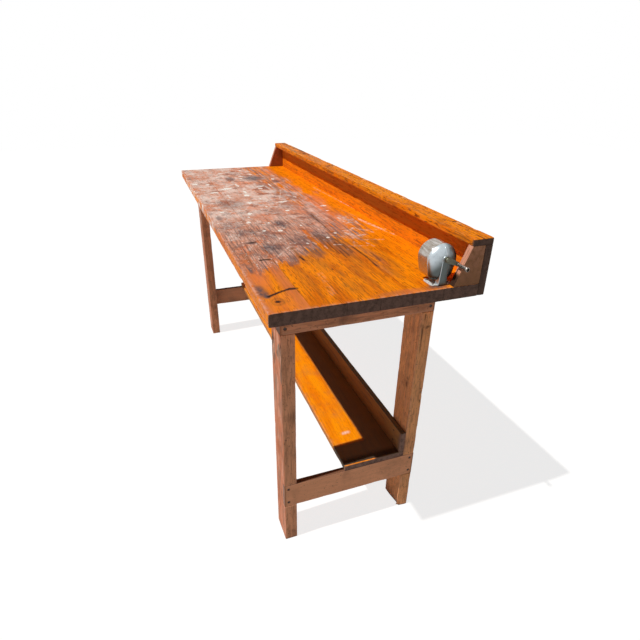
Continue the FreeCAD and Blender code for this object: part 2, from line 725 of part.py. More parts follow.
def dial_face():
    """Outer face of the dial, clear of the cup's end."""
    return CUP_END_X - END_CLEARANCE - DIAL_THICK


def pencil_dial():
    """Disc with a flatted rim that turns a hole of each pencil size in front of the cutters."""
    face = dial_face()
    disc = flatted_rod(DIAL_SIDES, DIAL_R, face, face + DIAL_THICK, 0, -DIAL_DROP)
    holes = [rod(RIVET_R + RUNNING_CLEARANCE, face, face + DIAL_THICK, 0, -DIAL_DROP)]
    for number, radius in enumerate(DIAL_HOLES):
        angle = math.pi / 2 + 2 * math.pi * number / len(DIAL_HOLES)
        holes.append(rod(radius, face, face + DIAL_THICK,
                         DIAL_DROP * math.cos(angle), DIAL_DROP * math.sin(angle) - DIAL_DROP))
    return disc.cut(holes)


def dial_rivet():
    head = dial_face() - END_CLEARANCE
    shank = rod(RIVET_R, head, CUP_END_X + CUP_WALL, 0, -DIAL_DROP)
    cap = flatted_rod(HEAD_SIDES, RIVET_HEAD_R, head - RIVET_HEAD, head, 0, -DIAL_DROP)
    return shank.fuse(cap).removeSplitter()


def sharpener(parts, planks):
    """All of the sharpener's pieces, moved to their place on the worktop."""
    local = {
        "sharpener_frame": sharpener_frame(),
        "ring_gear": ring_gear(),
        "cutter_carrier": cutter_carrier(),
        "cutter_pins": cutter_pins(),
        "upper_cutter": on_cutter_axis(cutter(), False),
        "lower_cutter": on_cutter_axis(cutter(), True),
        "crank_arm": crank_arm(),
        "crank_nut": crank_nut(),
        "crank_handle": crank_handle(),
        "handle_pin": handle_pin(),
        "chip_cup": chip_cup(),
        "pencil_dial": pencil_dial(),
        "dial_rivet": dial_rivet(),
    }
    for name, shape in local.items():
        shape.translate(SHARPENER_AXIS)
        parts[name] = shape
    places = [(point + SHARPENER_AXIS, direction) for point, direction in foot_screw_places()]
    parts["foot_screws"] = fasten(parts, ["sharpener_frame"] + planks, screw(FOOT_SCREW), places)


def planks_under_foot():
    inner = (TOP_WIDTH - 2 * EDGE_PLANK_WIDTH) / INNER_PLANKS
    seams = [0, EDGE_PLANK_WIDTH]
    seams += [EDGE_PLANK_WIDTH + inner * (number + 1) for number in range(INNER_PLANKS)]
    seams.append(TOP_WIDTH)
    low = SHARPENER_FROM_FRONT - FOOT_WIDTH / 2
    high = SHARPENER_FROM_FRONT + FOOT_WIDTH / 2
    return [f"top_plank_{number + 1}" for number in range(len(seams) - 1)
            if seams[number] < high and seams[number + 1] > low]


def workbench():
    parts = {}
    plank_middles = worktop(parts)
    back_shelf(parts)
    for name, side in SIDES.items():
        end_frame(parts, name, side)
    tool_shelf(parts)
    frame_screws(parts)
    worktop_screws(parts, plank_middles)
    back_fixings(parts, f"top_plank_{len(plank_middles)}")
    shelf_fixings(parts)
    sharpener(parts, planks_under_foot())
    return parts


os.makedirs("parts", exist_ok=True)
for node, shape in workbench().items():
    shape.translate(-BOX_CENTRE)
    shape.exportStep(f"parts/{node}.step")
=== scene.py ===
import math
from itertools import product

import bpy
import numpy as np
from mathutils import Matrix, Vector


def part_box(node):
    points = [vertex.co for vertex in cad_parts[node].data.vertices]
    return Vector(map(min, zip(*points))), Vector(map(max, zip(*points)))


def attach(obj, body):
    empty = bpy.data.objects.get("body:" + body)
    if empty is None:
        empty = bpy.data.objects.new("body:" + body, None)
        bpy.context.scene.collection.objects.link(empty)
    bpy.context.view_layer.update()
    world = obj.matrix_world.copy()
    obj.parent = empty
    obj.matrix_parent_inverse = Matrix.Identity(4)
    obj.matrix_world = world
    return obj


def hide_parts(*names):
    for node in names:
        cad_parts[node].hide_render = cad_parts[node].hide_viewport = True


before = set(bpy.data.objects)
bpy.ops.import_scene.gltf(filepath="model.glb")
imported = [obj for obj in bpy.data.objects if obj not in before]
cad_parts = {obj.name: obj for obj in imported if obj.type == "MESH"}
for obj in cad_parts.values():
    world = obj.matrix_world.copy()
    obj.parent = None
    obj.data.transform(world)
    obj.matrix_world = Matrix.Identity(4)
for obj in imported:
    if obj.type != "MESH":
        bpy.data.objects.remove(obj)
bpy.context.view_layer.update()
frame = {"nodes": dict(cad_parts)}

bl_info = {
    "name": "Carpenter's workbench",
    "version": (1, 0, 0),
    "blender": (4, 5, 0),
    "location": "View3D > Sidebar > Workbench",
    "description": "Worn boards, fixings, crank sharpener and studio stage for the packed workbench",
    "category": "Object",
}

MM = 0.001
BENCH = "bench"
SIDES = ("left", "right")
PLANKS = 6
# Axes of the frame: along the bench, from its front to its back, and up
ALONG = 0
BACK = 1
UP = 2
# Worn boards, in metres: how far wear reaches from an arris and damp from an end, the strip beside a corner
# that has its own row of faces, half the width of a sharp step, and the gap that parts two fasteners
EDGE_FADE = 0.004
SOAK_REACH = 0.005
FLAT_BAND = 0.0012
STEP_GAP = 0.00005
FASTENER_GAP = 0.012
# Length of the coarse and fine nicks along an arris, and of the ripples along and round a board
NICK_RUN = 0.045
FINE_NICK_RUN = 0.013
RIPPLE_RUN = 0.3
RIPPLE_ROUND = 0.06
# Points inside a rounded corner; reach of the stain round a well and grid lines through it, in its radii
ARC_STEPS = 4
WELL_STAIN = 1.3
WELL_LINES = np.array([-1.4, -1.2, -1.0, -0.86, -0.5, 0.0, 0.5, 0.86, 1.0, 1.2, 1.4])
HEIGHTS = np.random.default_rng(41).random((256, 256))

# The worktop's front edge and mid length in the frame: marks are noted in millimetres from there
TOP_LOW = np.array(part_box("top_plank_1")[0])
TOP_HIGH = np.array(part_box(f"top_plank_{PLANKS}")[1])
TOP_MIDDLE = (TOP_LOW[0] + TOP_HIGH[0]) / 2
TOP_FRONT = TOP_LOW[1]


def box_of(node):
    """Lowest and highest corner of a CAD node."""
    low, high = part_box(node)
    return np.array(low), np.array(high)


def smooth(value):
    """Eased step from 0 to 1: three times the square less twice the cube."""
    value = np.clip(value, 0, 1)
    return value * value * (3 - 2 * value)


def scaled(colour, share):
    """Colour made darker or lighter by a share."""
    return [share * part for part in colour]


def patchy(x, y, seed=0):
    """Smooth noise from 0 to 1: random heights at whole numbers, eased between neighbours."""
    x = np.asarray(x, float) + 17.37 * seed
    y = np.asarray(y, float) + 9.13 * seed
    i = np.floor(x).astype(int)
    j = np.floor(y).astype(int)
    u = smooth(x - i)
    v = smooth(y - j)
    low = HEIGHTS[i % 256, j % 256] * (1 - u) + HEIGHTS[(i + 1) % 256, j % 256] * u
    high = HEIGHTS[i % 256, (j + 1) % 256] * (1 - u) + HEIGHTS[(i + 1) % 256, (j + 1) % 256] * u
    return low * (1 - v) + high * v


def rough(x, y, seed=0, layers=3):
    """Patchy noise in layers, each twice as fine and half as strong as the last."""
    total = sum(patchy(x * 2 ** k, y * 2 ** k, seed + k) / 2 ** k for k in range(layers))
    return total / (2 - 2.0 ** (1 - layers))


def patches(x, y, seed, level, gain, layers=3):
    """Where rough noise rises above a level, eased from 0 to 1."""
    return smooth((rough(x, y, seed, layers) - level) * gain)


def spaced(values, gap=1e-5):
    """Sorted values with near repeats left out."""
    values = np.sort(np.asarray(values, float))
    return values[np.concatenate([[True], np.diff(values) > gap])]


def outline(corners, radii, spacing, extra):
    """Points, outward normals, closeness to a corner and nearest corner round a rounded polygon.

    Each side runs straight between the tangent points of its corners' arcs, with points a set spacing
    apart and at any extra places, and each corner turns evenly from one side's normal to the next.
    """
    corners = np.asarray(corners, float)
    count = len(corners)
    along = np.roll(corners, -1, 0) - corners
    length = np.linalg.norm(along, axis=1)
    along /= length[:, None]
    normal = np.stack([along[:, 1], -along[:, 0]], 1)
    before = np.roll(along, 1, 0)
    turn = np.arccos(np.clip((along * before).sum(1), -1, 1))
    trim = np.asarray(radii) * np.tan(turn / 2)
    points, normals, edge, nearest = [], [], [], []
    for side in range(count):
        following = (side + 1) % count
        start = trim[side]
        end = length[side] - trim[following]
        steps = max(2, int(round((end - start) / spacing[side])) + 1)
        wells = [(np.asarray(place) - corners[side]) @ along[side] + lines for place, lines in extra[side]]
        at = np.concatenate([np.linspace(start, end, steps), [start + FLAT_BAND, end - FLAT_BAND]] + wells)
        at = spaced(at[(at >= start) & (at <= end)])
        points.append(corners[side] + at[:, None] * along[side])
        normals.append(np.repeat(normal[side][None], len(at), 0))
        gap = np.minimum(at - start, end - at)
        edge.append(np.exp(-gap / EDGE_FADE))
        nearest.append(np.where(at - start < end - at, side, following))
        first = math.atan2(normal[side][1], normal[side][0])
        angles = first + turn[following] * np.linspace(0, 1, ARC_STEPS + 2)[1:-1]
        rays = np.stack([np.cos(angles), np.sin(angles)], 1)
        both = normal[side] + normal[following]
        centre = corners[following] - radii[following] * both / (1 + normal[side] @ normal[following])
        points.append(centre + radii[following] * rays)
        normals.append(rays)
        edge.append(np.ones(ARC_STEPS))
        nearest.append(np.full(ARC_STEPS, following))
    return np.vstack(points), np.vstack(normals), np.concatenate(edge), np.concatenate(nearest)


def stations(low, high, radius, spacing, extra=()):
    """Places along a board, and how far its outline draws in there: a quarter circle at each end."""
    turn = np.linspace(0, math.pi / 2, ARC_STEPS + 2)
    start = low + radius * (1 - np.cos(turn))
    draw = radius * (1 - np.sin(turn))
    steps = max(2, int(round((high - low) / spacing)) + 1)
    middle = np.concatenate([np.linspace(low + radius, high - radius, steps)] + list(extra))
    middle = spaced(middle[(middle >= low + radius) & (middle <= high - radius)])
    place = np.concatenate([start[:-1], middle, (low + high - start[:-1])[::-1]])
    return place, np.concatenate([draw[:-1], np.zeros(len(middle)), draw[:-1][::-1]])


def skin(name, rings, closed=False):
    """Mesh over a grid of rings: each ring runs round the piece and is joined to the next by quads.

    The last ring joins the first when closed; otherwise one flat face closes each end, in slot 1.
    """
    count, around, _ = rings.shape
    index = np.arange(count * around).reshape(count, around)
    if closed:
        index = np.vstack([index, index[:1]])
    beside = np.roll(index, -1, 1)
    faces = np.stack([index[:-1], beside[:-1], beside[1:], index[1:]], -1).reshape(-1, 4).tolist()
    quads = len(faces)
    if not closed:
        faces += [index[0, ::-1].tolist(), index[-1].tolist()]
    mesh = bpy.data.meshes.new(name)
    mesh.from_pydata(rings.reshape(-1, 3).tolist(), [], faces)
    ends = np.arange(len(faces)) >= quads
    mesh.polygons.foreach_set("use_smooth", ~ends)
    mesh.polygons.foreach_set("material_index", ends.astype(np.int32))
    return mesh


def one_finish(mesh):
    """Gives the end faces the same slot as the rest."""
    mesh.polygons.foreach_set("material_index", np.zeros(len(mesh.polygons), np.int32))


def places_of(mesh):
    """Vertex places as one array."""
    flat = np.zeros(len(mesh.vertices) * 3)
    mesh.vertices.foreach_get("co", flat)
    return flat.reshape(-1, 3)


def note(mesh, **notes):
    """Stores a number or a vector for each vertex under each name, over what is there already."""
    for name, values in notes.items():
        values = np.asarray(values, np.float32)
        kind, key = ("FLOAT_VECTOR", "vector") if values.ndim == 2 else ("FLOAT", "value")
        layer = mesh.attributes.get(name) or mesh.attributes.new(name, kind, "POINT")
        layer.data.foreach_set(key, values.ravel())


def joined(name, meshes):
    """One mesh from several, each keeping its own faces."""
    points, faces, even, slots = [], [], [], []
    for mesh in meshes:
        base = sum(len(part) for part in points)
        points.append(places_of(mesh))
        faces += [[base + corner for corner in face.vertices] for face in mesh.polygons]
        even += [face.use_smooth for face in mesh.polygons]
        slots += [face.material_index for face in mesh.polygons]
        bpy.data.meshes.remove(mesh)
    whole = bpy.data.meshes.new(name)
    whole.from_pydata(np.vstack(points).tolist(), [], faces)
    whole.polygons.foreach_set("use_smooth", even)
    whole.polygons.foreach_set("material_index", slots)
    return whole


def linked(name, data):
    """New object in the scene."""
    thing = bpy.data.objects.new(name, data)
    bpy.context.scene.collection.objects.link(thing)
    return thing


def piece(name, mesh, materials, body, slot, *nodes):
    """Links a finished mesh, gives it its finish and seats it on its body in place of CAD nodes."""
    thing = linked(name, mesh)
    for material in materials:
        mesh.materials.append(material)
    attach(thing, body)
    if nodes:
        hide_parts(*nodes)


def refinish(node, material):
    """Gives a CAD node that keeps its shape a better finish."""
    thing = frame["nodes"][node]
    thing.data.materials.clear()
    thing.data.materials.append(material)


def round_rays(count):
    """Unit vectors evenly round a circle."""
    turn = np.linspace(0, 2 * math.pi, count, endpoint=False)
    return np.stack([np.cos(turn), np.sin(turn)], 1)


class Board:
    """Worn board: a rounded outline carried along one axis, drawn in by nicks, ripples and fastener wells.

    A point is the outline's point, less its normal times the end rounding, the nicks near its corner,
    the ripple of its faces and the depth of any well within that well's radius.
    """

    def __init__(self, node, axis, seed, arris=1.6, nick=1.6, ripple=0.25, spacing=0.02, across=0.012,
                 wells=(), corners=None, radii=None, steps_at=()):
        self.node = node
        self.axis = axis
        self.seed = seed
        self.low, self.high = box_of(node)
        self.section = [(axis + 1) % 3, (axis + 2) % 3]
        a, b = self.section
        if corners is None:
            corners = [(self.low[a], self.low[b]), (self.high[a], self.low[b]),
                       (self.high[a], self.high[b]), (self.low[a], self.high[b])]
        self.corners = np.asarray(corners, float)
        radii = np.full(len(self.corners), arris * MM) if radii is None else np.asarray(radii) * MM
        gaps = across if isinstance(across, (list, tuple)) else [across] * len(self.corners)
        sides = np.roll(self.corners, -1, 0) - self.corners
        facing = np.stack([sides[:, 1], -sides[:, 0]], 1) / np.linalg.norm(sides, axis=1)[:, None]
        extra = [[] for _ in self.corners]
        lengthwise = [np.asarray(steps_at, float)]
        for place, outward, radius, _ in wells:
            side = int(np.argmax(facing @ np.array([outward[a], outward[b]])))
            extra[side].append(((place[a], place[b]), WELL_LINES * radius))
            lengthwise.append(place[axis] + WELL_LINES * radius)
        points, normals, edge, nearest = outline(self.corners, radii, gaps, extra)
        end = 0.8 * radii.min()
        along, draw = stations(self.low[axis], self.high[axis], end, spacing, lengthwise)
        grid = np.zeros((len(along), len(points), 3))
        grid[..., axis] = along[:, None]
        grid[..., a] = points[:, 0]
        grid[..., b] = points[:, 1]
        outward = np.zeros((len(points), 3))
        outward[:, a] = normals[:, 0]
        outward[:, b] = normals[:, 1]
        from_end = np.minimum(along - self.low[axis], self.high[axis] - along)
        self.side_edge = np.broadcast_to(edge[None], grid.shape[:2])
        self.end_edge = np.broadcast_to(np.exp(-from_end / EDGE_FADE)[:, None], grid.shape[:2])
        self.edge = np.maximum(self.side_edge, self.end_edge)
        self.soak = np.broadcast_to(smooth(1.4 - from_end / SOAK_REACH)[:, None], grid.shape[:2])
        self.grid = grid
        self.outward = np.broadcast_to(outward[None], grid.shape)
        worn = self.nicks(along, edge, nearest, nick)
        self.depth = draw[:, None] + worn + self.ripples(along, points, ripple)
        self.well = np.zeros(grid.shape[:2])
        for place, direction, radius, sink in wells:
            reach = np.linalg.norm(grid - np.asarray(place), axis=2)
            facing_it = outward @ np.asarray(direction, float) > 0.99
            bowl = smooth((radius - reach) / (0.14 * radius)) * facing_it[None]
            self.depth = np.maximum(self.depth, bowl * sink)
            stained = smooth((WELL_STAIN * radius - reach) / (0.5 * radius))
            self.well = np.maximum(self.well, stained * facing_it[None])

    def nicks(self, along, edge, nearest, size):
        """Depth of chips near each corner: rough noise above a level, and a little finer noise."""
        wander = rough(along[:, None] / NICK_RUN, nearest[None] * 7.7, self.seed)
        fine = patchy(along[:, None] / FINE_NICK_RUN, nearest[None], self.seed)
        return edge[None] * (np.clip(wander - 0.58, 0, 1) * 2.4 + 0.12 * fine) * size * MM

    def ripples(self, along, points, size):
        """Depth of slow waves over the faces: rough noise, longer along the board than round it."""
        lie = points @ np.array([1.0, 0.7])
        return rough(along[:, None] / RIPPLE_RUN, lie[None] / RIPPLE_ROUND, self.seed + 5) * size * MM

    def dent(self, place, reach, depth):
        """Presses a smooth hollow of a given reach and depth about a point."""
        away = np.linalg.norm((self.grid - np.asarray(place)) / np.asarray(reach), axis=2)
        self.depth = self.depth + np.exp(-away ** 2) * depth

    def mesh(self, pith=None, tilt=None, turn=None):
        """Finished mesh with the wood's own coordinates: along the grain, and across it from the pith."""
        rings = self.grid - self.outward * self.depth[..., None]
        mesh = skin(self.node, rings)
        dice = np.random.default_rng(self.seed)
        middle = (self.low + self.high) / 2
        basis = np.zeros((3, 3))
        basis[0, self.axis] = basis[1, self.section[0]] = basis[2, self.section[1]] = 1
        if turn is not None:
            basis = np.asarray(turn, float)
        place = (self.grid.reshape(-1, 3) - middle) @ basis.T
        if pith is None:
            pith = (dice.uniform(-0.03, 0.03), dice.uniform(-0.11, -0.05))
        if tilt is None:
            tilt = dice.uniform(-0.012, 0.012, 2)
        grain = np.stack([
            place[:, 0] + dice.uniform(0, 9),
            place[:, 1] - pith[0] + tilt[0] * place[:, 0],
            place[:, 2] - pith[1] + tilt[1] * place[:, 0],
        ], 1)
        note(mesh, grain=grain, edge=self.edge.ravel(), well=self.well.ravel(),
             soak=(self.soak * smooth(1 - 2 * self.outward[..., UP])).ravel(),
             tone=np.full(len(grain), dice.uniform(0, 1)))
        return mesh

    def facing(self, axis, sign):
        """How far the face at each vertex looks along an axis: 0 when square to it, 1 from halfway on."""
        return smooth(2 * sign * self.outward[..., axis].ravel())

    def bench_places(self):
        """Vertex places in millimetres from mid length, front edge and floor."""
        place = self.grid.reshape(-1, 3)
        return (place[:, 0] - TOP_MIDDLE) / MM, (place[:, 1] - TOP_FRONT) / MM, place[:, 2] / MM


def blob(x, y, marks):
    """Strongest of a list of soft oval spots: centre, half sizes and strength."""
    total = np.zeros_like(x)
    for cx, cy, rx, ry, strength in marks:
        away = np.hypot((x - cx) / rx, (y - cy) / ry)
        total = np.maximum(total, strength * smooth(1.35 - away))
    return total


def strokes(x, y, lines):
    """Strongest of a list of straight marks: both ends, half width and strength."""
    total = np.zeros_like(x)
    for x0, y0, x1, y1, half, strength in lines:
        run = np.array([x1 - x0, y1 - y0], float)
        share = np.clip(((x - x0) * run[0] + (y - y0) * run[1]) / (run @ run), 0, 1)
        away = np.hypot(x - x0 - share * run[0], y - y0 - share * run[1])
        total = np.maximum(total, strength * smooth((1.6 * half - away) / half))
    return total


class Signal:
    """A socket of a node tree; sums, products and the like add the nodes that work them out."""

    def __init__(self, graph, socket):
        self.graph = graph
        self.socket = socket

    def maths(self, operation, *operands):
        return self.graph.add("ShaderNodeMath", dict(enumerate(operands)), operation=operation)[0]

    def __add__(self, other):
        return self.maths("ADD", self, other)

    def __mul__(self, other):
        return self.maths("MULTIPLY", self, other)

    def __truediv__(self, other):
        return self.maths("DIVIDE", self, other)

    def __rsub__(self, other):
        return self.maths("SUBTRACT", other, self)

    def most(self, other):
        return self.maths("MAXIMUM", self, other)

    def eased(self, low, high, to_low=0.0, to_high=1.0):
        """Carried smoothly from one range to another and held at its ends."""
        inputs = {"Value": self, "From Min": low, "From Max": high, "To Min": to_low, "To Max": to_high}
        return self.graph.add("ShaderNodeMapRange", inputs, interpolation_type="SMOOTHSTEP")[0]

    def stretched(self, scale):
        return self.graph.add("ShaderNodeMapping", {"Vector": self, "Scale": scale})[0]

    def noise(self, scale, detail, roughness=0.55, size=1.0):
        """Noise over a place, with one scale or with three that stretch the place first."""
        place = self
        if isinstance(scale, tuple):
            place = self.stretched(scale)
            scale = size
        inputs = {"Vector": place, "Scale": scale, "Detail": detail, "Roughness": roughness}
        return self.graph.add("ShaderNodeTexNoise", inputs)[0]

    def between(self, first, second):
        """Colour that goes from the first to the second by this share."""
        return self.graph.add("ShaderNodeMix", {0: self, 6: first, 7: second}, data_type="RGBA")[2]


class Graph:
    """A node tree that is filled by short calls."""

    def __init__(self, tree, owner=None):
        self.tree = tree
        self.owner = owner

    def add(self, kind, inputs=None, **settings):
        """Adds a node with its settings and inputs, and gives its outputs by name and by number."""
        node = self.tree.nodes.new(kind)
        for key, value in settings.items():
            setattr(node, key, value)
        for key, value in (inputs or {}).items():
            socket = node.inputs[key]
            if isinstance(value, Signal):
                self.tree.links.new(value.socket, socket)
            elif socket.type == "RGBA":
                socket.default_value = (*value[:3], 1)
            else:
                socket.default_value = value
        outputs = {socket.name: Signal(self, socket) for socket in node.outputs}
        outputs.update((number, Signal(self, socket)) for number, socket in enumerate(node.outputs))
        return outputs

    def stored(self, name, output="Fac"):
        """What a piece's vertices carry under that name."""
        return self.add("ShaderNodeAttribute", attribute_name=name)[output]

    def place(self):
        return self.add("ShaderNodeTexCoord")["Object"]

    def relief(self, height, distance, strength):
        return self.add("ShaderNodeBump", {"Height": height, "Distance": distance, "Strength": strength})[0]

    def use(self, builder, **inputs):
        """A shared group with its own values; underscores stand for spaces in the names of its inputs."""
        values = {key.replace("_", " "): value for key, value in inputs.items()}
        tree = bpy.data.node_groups.get(builder.__name__) or built(builder)
        return self.add("ShaderNodeGroup", values, node_tree=tree)

    def rubbed(self, place, amount):
        """Mask of the arrises where a finish is rubbed off."""
        return self.use(rubbed_edge, Place=place, Edge=self.stored("edge"), Amount=amount)["Mask"]

    def surface(self, inputs):
        """Ends a material in a Principled shader and gives the material."""
        self.add("ShaderNodeOutputMaterial", {"Surface": self.add("ShaderNodeBsdfPrincipled", inputs)[0]})
        return self.owner


def layered(colour, *layers):
    """Colour with others laid over it in turn, each by its own share."""
    for share, other in layers:
        colour = share.between(colour, other)
    return colour


def blank(owner):
    """The emptied node tree of a material or world."""
    owner.use_nodes = True
    owner.node_tree.nodes.clear()
    return Graph(owner.node_tree, owner)


def group_of(**sockets):
    """Marks the builder of a shared node group and states its inputs: a default, or None for a vector."""

    def mark(builder):
        builder.sockets = {key.replace("_", " "): default for key, default in sockets.items()}
        return builder

    return mark


def built(builder):
    """Shader node group with named sockets: its builder takes the inputs and gives the outputs by name."""
    tree = bpy.data.node_groups.new(builder.__name__, "ShaderNodeTree")
    for label, default in builder.sockets.items():
        kind = "NodeSocketVector" if default is None else "NodeSocketFloat"
        socket = tree.interface.new_socket(label, in_out="INPUT", socket_type=kind)
        if default is not None:
            socket.default_value = default
    graph = Graph(tree)
    results = builder(graph, graph.add("NodeGroupInput"))
    for label in results:
        tree.interface.new_socket(label, in_out="OUTPUT", socket_type="NodeSocketFloat")
    graph.add("NodeGroupOutput", results)
    return tree


@group_of(Grain=None, Ring_Width=0.006, Wander=0.02)
def wood_grain(graph, given):
    """Growth rings about the pith with dark late wood, fibres along the grain and slow drifts of tone."""
    grain = given["Grain"]
    parts = graph.add("ShaderNodeSeparateXYZ", {0: grain})
    square = parts[1] * parts[1] + parts[2] * parts[2]
    reach = square.maths("SQRT", square)
    wander = grain.noise((1.6, 14.0, 14.0), 2.0) + grain.noise((8.0, 60.0, 60.0), 2.0) * 0.3
    ring = (reach + wander * given["Wander"]) / given["Ring Width"]
    share = ring.maths("FRACT", ring)
    gaps = grain.noise((10.0, 80.0, 80.0), 2.0)
    year = graph.add("ShaderNodeTexWhiteNoise", {"W": ring.maths("FLOOR", ring)}, noise_dimensions="1D")
    return {
        "Late": share.eased(0.35, 0.92) * share.eased(1.0, 0.93) * gaps.eased(0.42, 0.6, 0.05, 1.0),
        "Year": year["Value"],
        "Fibre": grain.noise((9.0, 150.0, 150.0), 4.0, 0.7),
        "Drift": grain.noise((5.0, 26.0, 26.0), 4.0, 0.65),
        "Pores": grain.noise((34.0, 230.0, 230.0), 2.0).eased(0.54, 0.66),
    }


@group_of(Place=None, Edge=0.0, Amount=0.6)
def rubbed_edge(graph, given):
    """Broken mask along arrises, from the edge note and noise."""
    breaks = given["Place"].noise(70.0, 3.0)
    return {"Mask": given["Edge"] * breaks.eased(0.35, 0.62) * given["Amount"]}


@group_of(Place=None, Amount=0.5)
def grime(graph, given):
    """Smudges of handling dirt: a broad patchy mask and a fine peppering."""
    broad = given["Place"].noise(9.0, 4.0, 0.65).eased(0.48, 0.78)
    fine = given["Place"].noise(160.0, 2.0).eased(0.62, 0.74)
    return {"Smudge": broad * given["Amount"], "Pepper": fine * given["Amount"]}


@group_of(Place=None, Amount=1.0)
def paint_specks(graph, given):
    """Dots and short dashes of spilt paint: cell centres kept by chance, dilated by noise."""
    warp = given["Place"].noise(55.0, 2.0)
    dots = []
    for scale, kept, size in (((34.0, 70.0, 70.0), 0.72, 0.2), ((90.0, 120.0, 120.0), 0.76, 0.28)):
        cells = graph.add("ShaderNodeTexVoronoi", {"Vector": given["Place"].stretched(scale), "Scale": 1.0})
        chance = graph.add("ShaderNodeSeparateColor", {0: cells["Color"]})[0]
        bound = cells["Distance"] + warp * 0.35
        dots.append(chance.eased(kept, kept + 0.02) * bound.eased(size + 0.22, size + 0.10))
    return {"Mask": dots[0].most(dots[1]) * given["Amount"]}


def grained(graph, light, mid, dark, ring, wander, contrast, fine=1.0):
    """Wood colour from its rings, fibres and drift, with the masks it was made of."""
    wood = graph.use(wood_grain, Grain=graph.stored("grain", "Vector"), Ring_Width=ring, Wander=wander)
    tone = wood["Drift"] * 0.75 + graph.stored("tone") * 0.15
    lines = wood["Late"] * wood["Year"].eased(0.0, 1.0, 0.1, 1.0)
    strands = wood["Fibre"].eased(0.5, 0.7).most(wood["Pores"])
    colour = layered(tone.eased(0.28, 0.56).between(mid, light),
                     (lines * (contrast * 0.75), dark), (strands * (contrast * fine), dark))
    return colour, lines, strands


def plain_board(name, light, mid, dark, pale, dirt, soak, ring=0.006, contrast=0.5, roughness=(0.42, 0.62),
                wear=0.5, soil=0.4, gloss=0.01, fine=1.0):
    """Finish for frame and shelf boards: grain, rubbed arrises, dirt and stained wells round fasteners, with
    the painted light and shade that some boards note: a warm tint on sunlit faces, and paler tints,
    darkening and black where shade falls.
    """
    graph = blank(bpy.data.materials.new(name))
    wood = bpy.context.scene.workbench_wood
    place = graph.place()
    colour, lines, strands = grained(graph, light, mid, dark, ring, 0.02, contrast, fine)
    dirty = graph.use(grime, Place=place, Amount=soil)
    colour = layered(
        colour,
        (dirty["Smudge"], dirt),
        (dirty["Pepper"], dirt),
        (graph.rubbed(place, wear), pale),
        # Blush is painted light, the warm tint of sunlight on the legs' front faces; chalk, grime and black
        # marks also carry painted shade on some boards.
        (graph.stored("blush"), wood.blush),
        (graph.stored("chalk") * strands.eased(0.0, 1.0, 1.0, 0.5), pale),
        (graph.stored("grimy"), wood.dirt),
        (graph.stored("soak"), soak),
        (graph.stored("mark") * 0.92, wood.black),
        (graph.stored("well") * 0.9, wood.black),
    )
    return graph.surface({"Base Color": colour, "Roughness": dirty["Smudge"].eased(0.0, 0.5, *roughness),
                          "Specular IOR Level": gloss, "Normal": graph.relief(lines + strands, 0.0004, 0.4)})


def end_grain(name, light, dark):
    """Sawn board end: soaked dark, with faint ring arcs, radial checks and saw marks."""
    graph = blank(bpy.data.materials.new(name))
    place = graph.place()
    colour, lines, _ = grained(graph, light, light, dark, 0.005, 0.01, 0.6)
    saw = place.noise((40.0, 14.0, 420.0), 2.0)
    worn = graph.rubbed(place, 0.35)
    colour = layered(colour, (saw.eased(0.5, 0.7) * 0.45, dark), (worn, scaled(light, 2.2)))
    return graph.surface({"Base Color": colour, "Roughness": 0.72, "Specular IOR Level": 0.1,
                          "Normal": graph.relief(saw + lines, 0.0006, 0.5)})


def worktop_finish(wood):
    """Orange varnish over grain, rubbed through to mauve wood by work, with paint and stains."""
    graph = blank(bpy.data.materials.new("worktop_varnish"))
    stored = graph.stored
    place = graph.place()
    varnish = (wood.varnish_light, wood.varnish, wood.grain_line)
    colour, lines, strands = grained(graph, *varnish, 0.0045, 0.03, 0.62)
    cloud = place.noise((13.0, 13.0, 1.0), 6.0, 0.72)
    fleck = place.noise((60.0, 60.0, 1.0), 4.0, 0.7)
    streak = place.noise((9.0, 150.0, 1.0), 5.0, 0.7)
    blush = place.noise((16.0, 14.0, 1.0), 5.0, 0.7, 1.3)
    murk = place.noise((19.0, 15.0, 1.0), 5.0, 0.72, 1.1)
    combed = stored("combed")
    dirty = (streak.eased(0.42, 0.62) * combed).most(murk.eased(0.5, 0.62) * 0.8)
    dirty = dirty.most(fleck.eased(0.55, 0.66) * 0.75)
    bare = layered(
        (cloud.eased(0.43, 0.56) * (1.3 - combed)).between(wood.worn, wood.worn_pale),
        (blush.eased(0.53, 0.6) * 0.75, wood.rubbed_red),
        (dirty * 0.85, wood.worn_dark),
        (lines.most(strands) * combed * 0.4, wood.worn_dark),
    )
    ragged = stored("worn") + stored("fray") * streak.eased(0.35, 0.65, -0.6, 0.6)
    broken = fleck.eased(0.4, 0.58)
    specks = graph.use(paint_specks, Place=place, Amount=stored("speck"))["Mask"]
    spilt = stored("paint") * fleck.eased(0.34, 0.58, 0.25, 1.6)
    painted = specks.most(spilt.eased(0.42, 0.58)).most(stored("scratch") * broken)
    colour = layered(
        colour,
        (stored("rub") * 0.75, wood.rubbed_red),
        (ragged.eased(0.1, 0.9), bare),
        (stored("rub") * dirty.eased(0.0, 1.0, 0.6, 0.1), wood.rubbed_red),
        (stored("pale") * (broken * 0.8), wood.worn_pale),
        (stored("smudge") * streak.eased(0.3, 0.6, 0.3, 1.0), wood.smudge),
        (stored("stain") * fleck.eased(0.35, 0.6, 0.62, 1.0), wood.stain),
        (painted, wood.paint),
        (stored("seam") * murk.eased(0.42, 0.62, 0.0, 0.5), wood.seam),
        (graph.rubbed(place, 0.85), wood.worn),
        (stored("soak"), wood.end),
        (stored("mark"), wood.black),
    )
    return graph.surface({"Base Color": colour, "Roughness": ragged.eased(0.0, 1.0, 0.36, 0.6),
                          "Specular IOR Level": 0.008,
                          "Normal": graph.relief(lines + strands + painted * -1.5, 0.0005, 0.35)})


